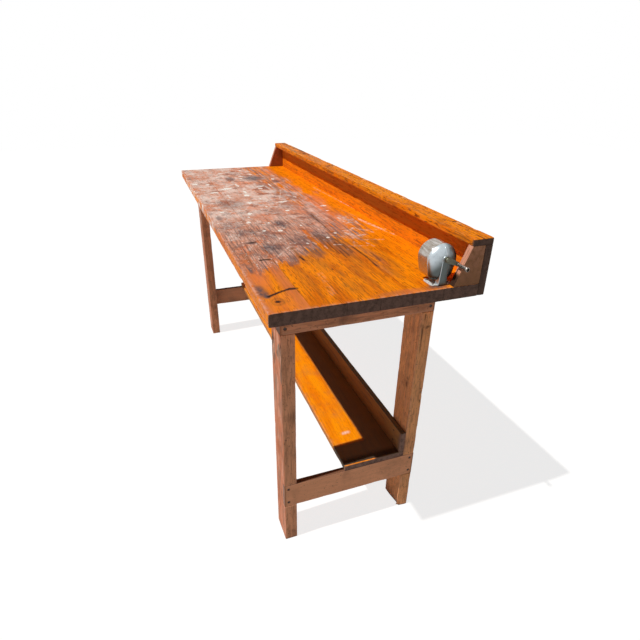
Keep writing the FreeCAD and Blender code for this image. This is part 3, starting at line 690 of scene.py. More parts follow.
def plated(name, colour, tarnish, roughness, dull, amount=0.5, metallic=1.0):
    """Plated metal: tarnish in patches, fine rub marks and a roughness that follows both; noted tarnish and
    painted shade darken a piece towards the tarnish colour, and painted shade in a hollow towards black.
    """
    graph = blank(bpy.data.materials.new(name))
    place = graph.place()
    dirty = graph.use(grime, Place=place.stretched((6.0, 6.0, 6.0)), Amount=amount)
    streak = place.noise((60.0, 360.0, 360.0), 4.0, 0.6)
    black = bpy.context.scene.workbench_wood.black
    tint = layered(dirty["Smudge"].between(colour, tarnish), (dirty["Pepper"] * 0.6, tarnish),
                   (graph.stored("dulled"), tarnish), (graph.stored("soot"), black))
    gleam = (streak + dirty["Smudge"]).eased(0.35, 1.0, roughness, dull)
    return graph.surface({"Base Color": tint, "Metallic": metallic, "Roughness": gleam,
                          "Normal": graph.relief(streak, 0.00008, 0.25)})


def colour_property(name, description, *default):
    """Colour that the user can change."""
    return bpy.props.FloatVectorProperty(
        name=name, description=description, subtype="COLOR", default=default, min=0, max=1)


class WorkbenchWood(bpy.types.PropertyGroup):
    """Sizes and colours of the wooden pieces."""

    varnish: colour_property("Varnish", "Orange varnish on the worktop and shelves", 0.66, 0.135, 0.003)
    varnish_light: colour_property("Light varnish", "Varnish over pale wood", 1.0, 0.285, 0.003)
    grain_line: colour_property("Grain line", "Late wood under varnish", 0.27, 0.055, 0.006)
    worn: colour_property("Worn wood", "Wood where the varnish is rubbed away", 0.74, 0.34, 0.225)
    worn_pale: colour_property("Pale wear", "Chalky wear and thin paint", 0.9, 0.68, 0.6)
    worn_dark: colour_property("Dark wear", "Dirt in the worn grain", 0.17, 0.1, 0.09)
    rubbed_red: colour_property("Rubbed red", "Red wood under thin varnish", 0.8, 0.215, 0.07)
    stain: colour_property("Stain", "Blue-black stains", 0.1, 0.075, 0.085)
    paint: colour_property("Spilt paint", "Off-white paint specks", 0.95, 0.9, 0.84)
    smudge: colour_property("Smudges", "Brown dirt on the varnish", 0.3, 0.1, 0.02)
    # Old dirt is also laid as painted shade on the low shelf and its upright.
    dirt: colour_property("Old dirt", "Dark dirt on the low shelf and varnished boards", 0.125, 0.145, 0.115)
    # Painted light: blush is the warmer, redder tint that sunlight gives the front legs' front faces.
    blush: colour_property("Blush", "Redder wood on the legs' front faces", 0.56, 0.175, 0.085)
    seam: colour_property("Seam", "Dirt between planks", 0.16, 0.05, 0.025)
    # Black is also laid as painted shade in the handle's hollow and on the shelf's near end, and as a
    # painted shadow on the right cheek.
    black: colour_property("Black marks", "Burns, knots and wells round fasteners", 0.025, 0.015, 0.012)
    frame: colour_property("Frame wood", "Legs and rails", 0.58, 0.27, 0.15)
    end: colour_property("End grain", "Soaked board ends", 0.125, 0.072, 0.055)
    arris: bpy.props.FloatProperty(
        name="Arris", description="Rounding of worn board edges in millimetres", default=1.8, min=0.5, max=4)
    nick: bpy.props.FloatProperty(
        name="Nicks", description="Depth of chips along edges in millimetres", default=1.6, min=0, max=4)


class WorkbenchMetal(bpy.types.PropertyGroup):
    """Colours of the metal pieces."""

    casting: colour_property("Casting", "Nickelled sharpener casting", 0.52, 0.58, 0.62)
    # The dull casting colour is tarnish, and also painted shade and reflection on the housing and the post.
    casting_dull: colour_property("Dull casting", "Tarnish on the casting", 0.07, 0.08, 0.075)
    foot: colour_property("Foot", "Bare worn metal of the foot", 0.62, 0.63, 0.62)
    cup: colour_property("Cup", "Bright chip cup", 0.58, 0.55, 0.52)
    cup_tarnish: colour_property("Cup tarnish", "Brown spots on the cup", 0.2, 0.145, 0.09)
    arm: colour_property("Crank arm", "Dull crank arm", 0.13, 0.13, 0.1)
    handle: colour_property("Handle", "Worn crank handle", 0.42, 0.39, 0.36)
    iron: colour_property("Iron", "Screws and nails", 0.07, 0.055, 0.05)
    steel: colour_property("Steel", "Gears, cutters and dial", 0.5, 0.5, 0.5)


class WorkbenchStage(bpy.types.PropertyGroup):
    """Light, floor and camera."""

    sun: bpy.props.FloatProperty(
        name="Key light", description="Strength of the key light", default=3.2, min=0)
    sun_spread: bpy.props.FloatProperty(
        name="Key softness", description="Angular size of the key light", subtype="ANGLE",
        default=math.radians(0.8))
    fill: bpy.props.FloatProperty(
        name="Fill", description="Strength of the even fill light", default=0.07, min=0)
    bounce: bpy.props.FloatProperty(
        name="Floor bounce", description="Share of light the floor gives back", default=0.72, min=0, max=1)
    camera_place: bpy.props.FloatVectorProperty(
        name="Camera place", description="Where the camera stands", subtype="XYZ", unit="LENGTH",
        default=(1.829237, -0.520902, 1.395283))
    lens: bpy.props.FloatProperty(
        name="Lens", description="Focal length on a 36 mm wide sensor", default=26.7206, min=1)


# Limit of the worn area: places along the worktop and how far back the wear reaches there
WEAR_ALONG = (-914, -725, -600, -420, -200, 130, 330, 430, 500, 560, 620, 690, 914)
WEAR_BACK = (440, 445, 470, 475, 510, 535, 520, 480, 385, 300, 190, 20, -120)
# Oval marks: centre, half sizes and strength
STAINS = (
    (-596, 323, 64, 62, 0.95), (-606, 204, 54, 24, 0.85), (-496, 409, 42, 22, 0.85),
    (-650, 300, 40, 30, 0.4), (-101, 109, 90, 58, 0.5), (232, 227, 48, 26, 0.85), (470, 129, 34, 42, 0.85),
    (95, 31, 36, 14, 0.7), (297, 85, 40, 40, 0.5), (410, 80, 14, 18, 0.85), (196, 56, 54, 34, 0.4),
    (437, 243, 60, 40, 0.6), (-240, 365, 70, 40, 0.45), (398, 316, 70, 34, 0.55), (530, 340, 90, 30, 0.5),
    (560, 388, 90, 10, 0.5), (640, 400, 90, 12, 0.4), (730, 377, 70, 9, 0.4), (157, 371, 120, 12, 0.6),
    (-400, 330, 90, 44, 0.35), (-740, 250, 60, 40, 0.3), (-144, 399, 70, 40, 0.4), (505, 130, 40, 30, 0.4),
    (-20, 330, 90, 40, 0.35), (345, 150, 60, 30, 0.35), (-620, 400, 60, 24, 0.35), (60, 250, 50, 30, 0.3),
    (772, 14, 30, 13, 0.9), (798, 16, 26, 14, 0.95), (818, 23, 14, 12, 0.95), (628, 141, 20, 8, 0.5),
    (575, 238, 38, 20, 0.45), (560, 262, 26, 12, 0.4), (896, 452, 16, 30, 0.8),
)
BROWN_SMUDGES = (
    (553, 249, 40, 26, 0.75), (657, 224, 60, 22, 0.45), (600, 200, 46, 24, 0.45), (640, 330, 90, 26, 0.4),
    (760, 300, 90, 20, 0.35), (720, 150, 110, 16, 0.3), (830, 250, 60, 30, 0.3), (690, 420, 90, 18, 0.35),
    (790, 20, 44, 14, 0.5), (560, 35, 80, 20, 0.4), (509, 458, 38, 16, 0.7), (472, 440, 26, 12, 0.5),
    (740, 251, 34, 8, 0.5), (815, 232, 22, 8, 0.6), (844, 235, 16, 7, 0.6), (775, 392, 60, 14, 0.45),
    (900, 330, 14, 60, 0.45), (898, 430, 12, 50, 0.4),
)
RED_PATCHES = (
    (-490, 249, 56, 42, 1.0), (128, 191, 64, 44, 0.85), (-22, 184, 46, 24, 0.85), (74, 294, 44, 36, 0.8),
    (620, 25, 170, 36, 0.85), (60, 360, 90, 40, 0.7), (-840, 290, 70, 40, 0.5), (-90, 470, 90, 40, 0.7),
    (300, 400, 90, 50, 0.7), (860, 52, 60, 50, 0.3), (-330, 455, 70, 30, 0.7), (180, 440, 90, 50, 0.7),
    (-760, 440, 90, 30, 0.6), (330, 290, 60, 30, 0.6), (900, 350, 14, 70, 0.6), (10, 430, 150, 50, 0.8),
)
PALE_CLOUDS = (
    (-365, 153, 72, 56, 0.9), (-291, 230, 96, 36, 0.9), (335, 40, 42, 24, 0.6), (-780, 110, 130, 100, 0.5),
    (0, 130, 120, 80, 0.4), (250, 470, 70, 30, 0.9), (-600, 140, 110, 46, 0.75), (430, 415, 50, 26, 0.6),
    (120, 400, 160, 24, 0.4), (-200, 50, 90, 40, 0.7), (-440, 60, 90, 50, 0.7), (-140, 265, 100, 44, 0.45),
    (130, 45, 170, 44, 0.75), (-330, 160, 160, 80, 0.55),
)
PAINT_SPOTS = (
    (-237, 207, 22, 13, 1.0), (-105, 189, 22, 12, 1.0), (64, 152, 18, 10, 1.0), (180, 121, 16, 9, 1.0),
    (-327, 76, 12, 26, 0.95), (-528, 23, 18, 14, 0.95), (-505, 78, 14, 12, 0.9), (-393, 150, 16, 26, 0.75),
    (-552, 411, 14, 10, 0.9), (-80, 319, 10, 26, 1.0), (-402, 309, 8, 20, 0.9), (-147, 399, 11, 9, 0.9),
    (29, 465, 10, 16, 0.9), (310, 203, 11, 9, 1.0), (61, 303, 9, 10, 0.95), (115, 137, 12, 7, 0.9),
    (-605, 259, 12, 8, 0.8), (-700, 330, 12, 9, 0.8), (-770, 190, 9, 20, 0.8), (-455, 210, 40, 8, 0.7),
    (-300, 215, 44, 6, 0.8), (-660, 270, 10, 16, 0.7), (-380, 130, 14, 30, 0.6), (390, 372, 9, 5, 0.8),
    (430, 330, 6, 9, 0.7), (270, 290, 8, 5, 0.8), (-20, 240, 9, 6, 0.8), (205, 190, 12, 5, 0.7),
    (-820, 300, 14, 10, 0.6), (468, 247, 8, 6, 0.9), (393, 179, 7, 7, 0.8), (107, 453, 8, 8, 0.8),
    (-350, 295, 10, 14, 0.8), (16, 55, 9, 10, 0.8), (295, 150, 8, 7, 0.8), (-160, 250, 22, 5, 0.7),
    (-420, 360, 40, 5, 0.6), (-240, 130, 30, 6, 0.7),
)
# Straight marks: both ends, half width and strength
SCRATCHES = (
    (250, 500, 330, 492, 2.4, 0.5), (200, 455, 300, 452, 2.2, 0.5), (505, 322, 512, 345, 2.4, 0.7),
    (560, 120, 470, 190, 1.6, 0.5), (120, 280, 260, 330, 1.6, 0.6), (-300, 380, -140, 330, 1.8, 0.6),
    (300, 230, 420, 290, 1.4, 0.5), (-307, 542, 109, 566, 2.4, 0.45), (246, 523, 475, 558, 2.4, 0.55),
    (-120, 410, 60, 430, 2.0, 0.5), (150, 150, 300, 230, 1.6, 0.5), (-60, 90, 40, 150, 1.8, 0.5),
    (-420, 330, -250, 345, 2.4, 0.6), (280, 110, 400, 190, 1.4, 0.5),
)
BLACK_LINES = (
    (821, 26, 804, 57, 3.6, 0.95), (804, 57, 792, 87, 3.4, 0.9), (792, 87, 794, 104, 4.6, 0.85),
    (570, 68, 572, 93, 4.0, 0.85), (577, 185, 609, 189, 3.0, 0.7),
)
# Brown lines along the grain, cracks, tongues of sound varnish in the worn area, and pale rubbed lines
DARK_STREAKS = (
    (386, 295, 560, 291, 2.2, 0.7), (400, 303, 600, 300, 2.0, 0.85), (384, 313, 590, 307, 2.4, 0.8),
    (430, 320, 615, 316, 2.0, 0.9), (470, 327, 610, 325, 2.2, 0.7), (450, 335, 610, 333, 2.0, 0.85),
    (380, 343, 560, 345, 2.4, 0.7), (365, 361, 510, 368, 2.6, 0.8), (448, 352, 588, 351, 2.0, 0.7),
    (520, 367, 595, 372, 3.4, 0.95), (595, 372, 641, 373, 4.0, 1.0), (641, 373, 718, 368, 3.0, 0.9),
    (718, 368, 800, 362, 2.0, 0.6), (605, 402, 680, 398, 2.6, 0.75), (680, 398, 687, 381, 2.4, 0.6),
    (700, 392, 812, 388, 4.5, 0.6), (500, 185, 590, 184, 5.0, 0.8), (690, 300, 860, 290, 1.8, 0.55),
    (700, 316, 880, 308, 1.6, 0.5), (720, 340, 890, 330, 1.8, 0.5), (640, 140, 800, 132, 1.8, 0.5),
    (700, 160, 870, 150, 1.6, 0.5), (560, 440, 760, 430, 2.0, 0.5), (640, 470, 850, 462, 1.8, 0.5),
)
CRACKS = (
    (141, 373, 259, 367, 1.8, 0.6), (259, 367, 360, 364, 1.8, 0.6), (540, 370, 641, 373, 2.2, 0.6),
    (641, 373, 716, 368, 1.8, 0.5), (470, 311, 590, 306, 1.6, 0.55), (480, 331, 612, 329, 1.6, 0.55),
    (430, 300, 570, 297, 1.5, 0.4), (450, 346, 590, 345, 1.6, 0.45), (500, 355, 588, 352, 1.6, 0.4),
    (560, 318, 625, 315, 1.6, 0.5), (390, 322, 470, 320, 1.6, 0.4), (610, 401, 678, 398, 1.6, 0.35),
)
CLEAN_STREAKS = ((331, 281, 450, 274, 8.0, 0.9), (450, 274, 540, 280, 8.0, 0.9))
PALE_LINES = (
    (380, 407, 440, 412, 5.0, 1.0), (440, 412, 438, 460, 4.0, 0.9), (384, 420, 352, 456, 4.0, 0.9),
    (352, 456, 420, 500, 4.0, 0.8), (717, 197, 857, 180, 7.0, 0.13), (221, 474, 268, 478, 12.0, 1.0),
    (259, 519, 339, 530, 3.4, 0.8), (339, 530, 443, 551, 3.0, 0.7),
)
KNOT = (856, 39)
BLACK_SPOTS = ((*KNOT, 7, 8, 0.9), (407, 79, 5, 16, 0.8), (700, 240, 5, 3, 0.5))
SCRATCH_COUNT = 190
# Where the front plank's own wear stops, the band by the front edge that has no seam, and the front face's
FRONT_PLANK = 104
OUTER_BAND = 12
FRONT_FACE = 10
# Corner roundings of the front plank and of the others, in millimetres
FRONT_RADII = [2.2, 0.6, 0.5, 2.8]
PLANK_RADII = [1.2, 0.6, 0.5, 0.5]


def worn_share(x, y):
    """How far the varnish is rubbed through: 1 well inside the worn area, 0 outside, with a ragged limit."""
    back = np.interp(x, WEAR_ALONG, WEAR_BACK)
    ragged = (rough(x / 170, y / 26, 3, 4) - 0.5) * 240
    return smooth((back - y + ragged) / 230 + 0.15)


def random_scratches():
    """Short straight scratches scattered over the worn area, mostly along or across the grain."""
    dice = np.random.default_rng(7)
    x = dice.uniform(-900, 560, SCRATCH_COUNT)
    y = dice.uniform(10, 430, SCRATCH_COUNT)
    angle = dice.normal(0, 0.5, SCRATCH_COUNT) + dice.choice([0, math.pi / 2, 0.6], SCRATCH_COUNT)
    length = dice.gamma(2.2, 22, SCRATCH_COUNT)
    strength = dice.uniform(0.1, 0.5, SCRATCH_COUNT)
    half = dice.uniform(1.0, 2.2, SCRATCH_COUNT)
    return np.stack([x, y, x + length * np.cos(angle), y + length * np.sin(angle), half, strength], 1)


def note_wear(board, mesh):
    """Wear, paint, stains and marks over a plank's upper face, and drips down the front edge."""
    x, y, z = board.bench_places()
    upper = board.facing(UP, 1)
    front = board.facing(BACK, -1) * (y < FRONT_FACE)
    worn = worn_share(x, y) * (1 - strokes(x, y, CLEAN_STREAKS))
    fading = 4 * worn * (1 - worn)
    dark_grain = patches(x / 190, y / 7, 51, 0.5, 5) * fading * 0.7
    drip = patches(x / 14, z / 60, 21, 0.56, 9, 2) * smooth((350 - x) / 300)
    chafed = patches(x / 60, z / 20, 11, 0.45, 4) * smooth((500 - x) / 300)
    clouds = np.maximum(blob(x, y, PALE_CLOUDS), strokes(x, y, PALE_LINES))
    flanks = np.maximum(smooth((34 - y) / 26), smooth((y - 62) / 26)) * (y < FRONT_PLANK)
    flanks = flanks * (0.45 + 0.55 * patches(x / 60, y / 14, 71, 0.35, 4)) * smooth((x - 380) / 90)
    knot_ring = np.exp(-((np.hypot((x - KNOT[0]) / 17, (y - KNOT[1]) / 15) - 1) / 0.3) ** 2)
    smudges = [blob(x, y, BROWN_SMUDGES), strokes(x, y, DARK_STREAKS), 0.3 * flanks, 0.6 * knot_ring]
    marks = np.maximum(strokes(x, y, BLACK_LINES + CRACKS), blob(x, y, BLACK_SPOTS))
    outer = np.abs(y) < OUTER_BAND
    note(
        mesh,
        worn=upper * worn + front * chafed,
        fray=upper * fading,
        combed=0.35 + 0.65 * smooth((x + 60) / 420),
        rub=upper * np.maximum(blob(x, y, RED_PATCHES), 0.85 * flanks),
        pale=upper * clouds,
        stain=upper * np.maximum(blob(x, y, STAINS), dark_grain),
        smudge=upper * np.maximum.reduce(smudges),
        paint=np.maximum(upper * blob(x, y, PAINT_SPOTS), front * drip * 0.9),
        scratch=upper * np.maximum(strokes(x, y, SCRATCHES), strokes(x, y, random_scratches())),
        speck=upper * worn * (0.4 + 0.6 * clouds),
        mark=upper * np.minimum(1.5 * marks, 1),
        seam=board.side_edge.ravel() ** 8 * ~outer,
        edge=np.maximum(board.end_edge.ravel(), board.side_edge.ravel() * outer),
    )


class WORKBENCH_OT_worktop(bpy.types.Operator):
    """Six worn planks with their seams, wear, paint and stains"""

    bl_idname = "workbench.worktop"
    bl_label = "Worktop planks"

    def execute(self, context):
        wood = context.scene.workbench_wood
        finish = worktop_finish(wood)
        ends = end_grain("worktop_end_grain", wood.end, scaled(wood.end, 0.45))
        for number in range(PLANKS):
            front = number == 0
            hand = (-1) ** number
            board = Board(f"top_plank_{number + 1}", ALONG, 100 + number, ripple=0.5, spacing=0.0045,
                          nick=wood.nick * (1.4 if front else 0.7), across=[0.02, 0.01, 0.0035, 0.005],
                          radii=FRONT_RADII if front else PLANK_RADII)
            mesh = board.mesh(pith=(hand * (0.085 + 0.012 * (number % 3)), -0.05),
                              tilt=(0.004 * hand, 0.003 * (number - 2)))
            note_wear(board, mesh)
            board_piece(board, mesh, [finish, ends], "top_wood")
        return {"FINISHED"}


def board_piece(board, mesh, materials, slot):
    """Seats a finished board in place of its CAD node."""
    piece(board.node + "_worn", mesh, materials, BENCH, slot, board.node)


# How near a fastener's middle lies to the face that it comes through
FASTENER_REACH = 0.1


def fastener_boxes(node, axis):
    """Lowest and highest corner of each fastener in a CAD node: vertices near one line are one fastener."""
    points = places_of(frame["nodes"][node].data)
    across = points.copy()
    across[:, axis] = np.sign(points[:, axis])
    keys = np.round(across / FASTENER_GAP).astype(int)
    boxes = []
    left = np.ones(len(points), bool)
    while left.any():
        near = left & (np.abs(keys - keys[np.argmax(left)]).max(1) <= 1)
        boxes.append((points[near].min(0), points[near].max(0)))
        left &= ~near
    return boxes


def nail_wells(nodes, axis, face, sign, radius=0.0032, sink=0.0017):
    """Wells in a board's face over the fasteners of some CAD nodes that come through it along an axis."""
    outward = np.zeros(3)
    outward[axis] = sign
    wells = []
    for node in nodes:
        for low, high in fastener_boxes(node, axis):
            place = (low + high) / 2
            if abs(place[axis] - face) < FASTENER_REACH:
                place[axis] = face
                wells.append((place, outward, radius, sink))
    return wells


# Heights of the painted shade on the back board below the cap and of the painted shadow on the cheek by the
# sharpener, in millimetres
DUST_BELOW_CAP = 62
CHEEK_SOOT = 36
# How far the boards under the cap reach into it, so that no light shows through the joint
CAP_LAP = 0.0009
# Dents along the cap's front edge: place from mid length, reach and depth
CAP_DENTS = ((845, 12, 0.004), (800, 7, 0.002), (-160, 10, 0.003), (300, 8, 0.002))
CAP_DENT_ROUND = 0.006
CAP_NAIL_WELL = 0.0056
# Rubbed oval beside each nail of the cap: how far along and in it lies, its half sizes and its strength
NAIL_RUB_ALONG = 16
NAIL_RUB_IN = 4
NAIL_RUB = (16, 7, 0.9)


class WORKBENCH_OT_back_shelf(bpy.types.Operator):
    """Back board, cap and two sloped cheeks behind the worktop"""

    bl_idname = "workbench.back_shelf"
    bl_label = "Back shelf"

    def execute(self, context):
        wood = context.scene.workbench_wood
        soaked = scaled(wood.end, 0.8)
        ends = end_grain("shelf_end_grain", soaked, scaled(wood.end, 0.4))
        cap_low, cap_high = box_of("shelf_cap")
        self.back_board(wood, soaked, ends, cap_low, cap_high)
        self.cap(wood, soaked, ends, cap_low, cap_high)
        self.cheeks(cap_low)
        return {"FINISHED"}

    def back_board(self, wood, soaked, ends, cap_low, cap_high):
        """Board along the back, carried a little way up into the cap, with painted shade: a paler, greyer
        tint in the band below the cap that its shadow covers.
        """
        finish = plain_board("back_board_varnish", light=(1.0, 0.29, 0.008), mid=(0.8, 0.205, 0.007),
                             dark=(0.26, 0.08, 0.018), pale=(0.72, 0.4, 0.09), dirt=wood.smudge, soak=soaked,
                             ring=0.008, contrast=0.8, roughness=(0.36, 0.55), wear=0.3, soil=0.35, fine=0.7,
                             gloss=0.0)
        wells = nail_wells(("back_board_nails", "cheek_nails"), BACK, cap_high[1], 1)
        low, high = box_of("back_board")
        top = high[2] + CAP_LAP
        board = Board("back_board", ALONG, 201, arris=wood.arris, nick=wood.nick, spacing=0.02, across=0.008,
                      wells=wells,
                      corners=[(low[1], low[2]), (high[1], low[2]), (high[1], top), (low[1], top)])
        mesh = board.mesh(pith=(-0.06, 0.01), tilt=(0.004, 0.006))
        x, _, z = board.bench_places()
        # Painted shade: the band that the cap shades gets a paler, greyer tint.
        dusty = smooth((z - (cap_low[2] / MM - DUST_BELOW_CAP)) / 14) * board.facing(BACK, -1)
        note(mesh, soak=board.soak.ravel(), edge=board.edge.ravel() * (board.outward[..., 1].ravel() > -0.5),
             chalk=dusty * (0.5 + 0.4 * rough(x / 110, z / 16, 37, 3)))
        board_piece(board, mesh, [finish, ends], "back_wood")

    def cap(self, wood, soaked, ends, cap_low, cap_high):
        """Cap with dents along its front edge, sunk nails and scuffs towards its far end."""
        finish = plain_board("cap_varnish", light=(1.0, 0.3, 0.003), mid=(0.9, 0.215, 0.003),
                             dark=(0.3, 0.07, 0.008), pale=(0.9, 0.4, 0.14), dirt=wood.smudge, soak=soaked,
                             contrast=1.0, roughness=(0.36, 0.55), wear=0.2, soil=0.3, gloss=0.003)
        wells = nail_wells(("cap_nails",), UP, cap_high[2], 1, CAP_NAIL_WELL)
        board = Board("shelf_cap", ALONG, 205, arris=2.2, nick=2.2, ripple=0.4, spacing=0.008, across=0.005,
                      wells=wells)
        for along, reach, depth in CAP_DENTS:
            board.dent((TOP_MIDDLE + along * MM, cap_low[1], cap_high[2]),
                       (reach * MM, CAP_DENT_ROUND, CAP_DENT_ROUND), depth)
        mesh = board.mesh(pith=(0.012, -0.05), tilt=(0.008, 0.004))
        x, y, _ = board.bench_places()
        upper = board.facing(UP, 1)
        far = smooth((60 - x) / 700)
        scuffed = patches(x / 60, y / 9, 31, 0.52, 6, 4) * far * smooth((y - 535) / 30)
        thin = patches(x / 90, y / 12, 33, 0.45, 4, 4) * 0.45 * far
        rubs = [((place[0] - TOP_MIDDLE) / MM + NAIL_RUB_ALONG, (place[1] - TOP_FRONT) / MM + NAIL_RUB_IN,
                 *NAIL_RUB) for place, *_ in wells]
        note(mesh, mark=upper * scuffed * 0.75, chalk=upper * np.maximum(thin, blob(x, y, rubs)),
             grimy=upper * patches(x / 70, y / 10, 35, 0.5, 4, 4) * (0.04 + 0.46 * far))
        board_piece(board, mesh, [finish, ends], "back_wood")

    def cheeks(self, cap_low):
        """Cheeks of four corners in side view, with the grain along the slope, pale front edges, and a
        painted shadow low on the right cheek's front edge by the sharpener.
        """
        finish = plain_board("cheek_wood", light=(0.47, 0.225, 0.112), mid=(0.345, 0.165, 0.085),
                             dark=(0.13, 0.06, 0.033), pale=(0.78, 0.36, 0.25), dirt=(0.1, 0.06, 0.045),
                             soak=(0.3, 0.145, 0.075), ring=0.007, contrast=0.45, wear=0.4, soil=0.6)
        for number, side in enumerate(SIDES):
            low, high = box_of("cheek_" + side)
            run = cap_low[1] - low[1]
            rise = high[2] - low[2]
            top = high[2] + CAP_LAP
            slope = np.array([run, rise]) / math.hypot(run, rise)
            board = Board("cheek_" + side, ALONG, 211 + number, spacing=0.005, across=0.006,
                          radii=[1.0, 1.0, 1.0, 1.6], nick=1.2,
                          corners=[(low[1], low[2]), (high[1], low[2]), (high[1], top), (low[1] + run, top)])
            mesh = board.mesh(pith=(0.015, 0.05), tilt=(0.05, 0.02),
                              turn=[(0, slope[0], slope[1]), (0, slope[1], -slope[0]), (1, 0, 0)])
            one_finish(mesh)
            ahead = board.facing(BACK, -1) * (board.end_edge.ravel() < 0.999)
            # Painted shadow: the right cheek's front edge is blackened below this height, where the
            # sharpener's shadow falls.
            height = (board.grid[..., 2].ravel() - low[2]) / MM
            graphite = smooth((CHEEK_SOOT - height) / 9) * (side == "right")
            note(mesh, chalk=0.8 * ahead * (1 - graphite), mark=ahead * graphite)
            board_piece(board, mesh, [finish], "back_wood")


RAIL_SCREWS = ("upper_rail_screws", "lower_rail_screws")
# Wells of the rails' screws: radius and depth
RAIL_WELL = (0.0046, 0.0024)
FRAME_PALE = (0.74, 0.38, 0.26)
FRAME_DIRT = (0.15, 0.08, 0.055)
# Cracks and knots of the near rear leg: on its outer face and on its front face
LEG_CRACKS = ((14, 785, 10, 700, 1.4, 0.9), (10, 700, 12, 640, 1.0, 0.7), (24, 740, 40, 738, 1.6, 0.8))
LEG_SPOTS = ((33, 505, 3, 5, 0.9), (36, 470, 3, 6, 0.9), (30, 300, 2.5, 4, 0.6))
LEG_FRONT_SPOTS = ((58, 520, 5, 14, 0.75), (62, 545, 8, 6, 0.5))
# Broken corner at that leg's foot: reach along each axis and depth; and how near its face a mark has to be
LEG_CHIP = ((0.05, 0.014, 0.022), 0.009)
LEG_FACE = 0.003


class WORKBENCH_OT_end_frames(bpy.types.Operator):
    """Four legs and four rails, with wells where the screws are sunk"""

    bl_idname = "workbench.end_frames"
    bl_label = "End frames"

    def execute(self, context):
        wood = context.scene.workbench_wood
        dark = scaled(wood.frame, 0.42)
        common = {"pale": FRAME_PALE, "dirt": FRAME_DIRT, "soak": scaled(wood.frame, 0.6), "ring": 0.0075,
                  "wear": 0.3}
        finish = plain_board("frame_wood", scaled(wood.frame, 1.3), scaled(wood.frame, 0.84), dark,
                             contrast=0.5, soil=0.75, **common)
        low_rail = plain_board("low_rail_wood", scaled(wood.frame, 1.5), scaled(wood.frame, 1.3), wood.frame,
                               contrast=0.4, soil=0.5, **common)
        # Rear legs: a brighter, oranger copy of the frame wood, painted light that stands in for the orange
        # light the low shelf throws onto them.
        rear = plain_board("rear_leg_wood", (0.92, 0.42, 0.18), (0.72, 0.34, 0.17), dark,
                           contrast=0.45, soil=0.6, **common)
        ends = end_grain("frame_end_grain", scaled(wood.end, 2.2), wood.end)
        for number, (height, side) in enumerate(product(("upper", "lower"), SIDES)):
            look = low_rail if height == "lower" else finish
            self.rail(wood, [look, ends], f"{height}_rail_{side}", side, 300 + number)
        for number, (row, side) in enumerate(product(("front", "rear"), SIDES)):
            look = rear if row == "rear" else finish
            self.leg(wood, [look, ends], f"leg_{row}_{side}", side, 320 + number)
        return {"FINISHED"}

    def rail(self, wood, materials, node, side, seed):
        """Rail with its own screws sunk in its outer face."""
        low, high = box_of(node)
        face = high[0] if side == "right" else low[0]
        hand = np.sign(face)
        wells = nail_wells(RAIL_SCREWS, ALONG, face, hand, *RAIL_WELL)
        board = Board(node, BACK, seed, arris=wood.arris, nick=wood.nick, spacing=0.012, across=0.008,
                      wells=[well for well in wells if low[2] < well[0][2] < high[2]])
        mesh = board.mesh()
        upper = board.facing(UP, 1)
        lower = "lower" in node
        soil = 0.34 * (side == "left") if lower else 0.16
        # Top faces of the lower rails are darkened: partly their own dirt, partly painted shade.
        note(mesh, mark=0.8 * upper * lower, grimy=np.full(len(upper), soil))
        board_piece(board, mesh, materials, "frame_wood")

    def leg(self, wood, materials, node, side, seed):
        """Leg whose outer face steps in behind each rail, its outline squeezed by the rail's thickness."""
        rails = [box_of(height + "_rail_" + side) for height in ("upper", "lower")]
        steps_at = [limit[UP] + shift for rail in rails for limit in rail for shift in (-STEP_GAP, STEP_GAP)]
        board = Board(node, UP, seed, arris=2.2, nick=wood.nick * 1.2, ripple=0.5, spacing=0.006,
                      across=0.004, steps_at=steps_at)
        outer = board.high[0] if side == "right" else board.low[0]
        inner = board.low[0] if side == "right" else board.high[0]
        for low, high in rails:
            within = (board.grid[:, :1, UP] > low[UP]) & (board.grid[:, :1, UP] < high[UP])
            squeeze = 1 - (high[0] - low[0]) / abs(outer - inner)
            squeezed = inner + (board.grid[..., 0] - inner) * squeeze
            board.grid[..., 0] = np.where(within, squeezed, board.grid[..., 0])
        marked = node == "leg_rear_right"
        if marked:
            board.dent((outer, board.low[1], 0), *LEG_CHIP)
        mesh = board.mesh()
        along, inward, height = board.grid.reshape(-1, 3).T
        marks = np.zeros(len(height))
        if marked:
            x = (along - board.low[0]) / MM
            y = (inward - board.low[1]) / MM
            z = height / MM
            outside = np.maximum(strokes(y, z, LEG_CRACKS), blob(y, z, LEG_SPOTS))
            marks = np.where(along > board.high[0] - LEG_FACE, outside, 0)
            ahead = np.where(inward < board.low[1] + LEG_FACE, blob(x, z, LEG_FRONT_SPOTS), 0)
            marks = np.maximum(marks, ahead)
        front = "front" in node
        facing = board.facing(BACK, -1)
        shown = facing if front else 0.25 * facing
        high_up = smooth((height - 0.5) / 0.3)
        scuffs = patches(along / 0.012, height / 0.05, seed, 0.52, 9, 4)
        soiled = patches(along / 0.009, height / 0.06, seed + 9, 0.54, 9, 4)
        flecks = patches(along / 0.007, height / 0.025, seed + 5, 0.66, 14)
        # Painted light: blush warms the front legs' sun-facing front faces.
        note(mesh, blush=facing * (0.75 if front else 0.0), chalk=shown * scuffs * (0.5 + 0.45 * high_up),
             grimy=shown * soiled * (0.3 + 0.6 * high_up),
             mark=np.maximum(marks, shown * flecks * (0.3 + 0.5 * high_up)))
        board_piece(board, mesh, materials, "frame_wood")


# Low shelf: share of its width left out of the painted shade, start of the painted shade at its near end,
# strip at that end left out of it, and a spot
SHELF_CLEAN = 0.5
SHELF_END_DIRT = 700
SHELF_LIT_END = 4
SHELF_SPOT = (652, 328, 6, 14, 1.0)


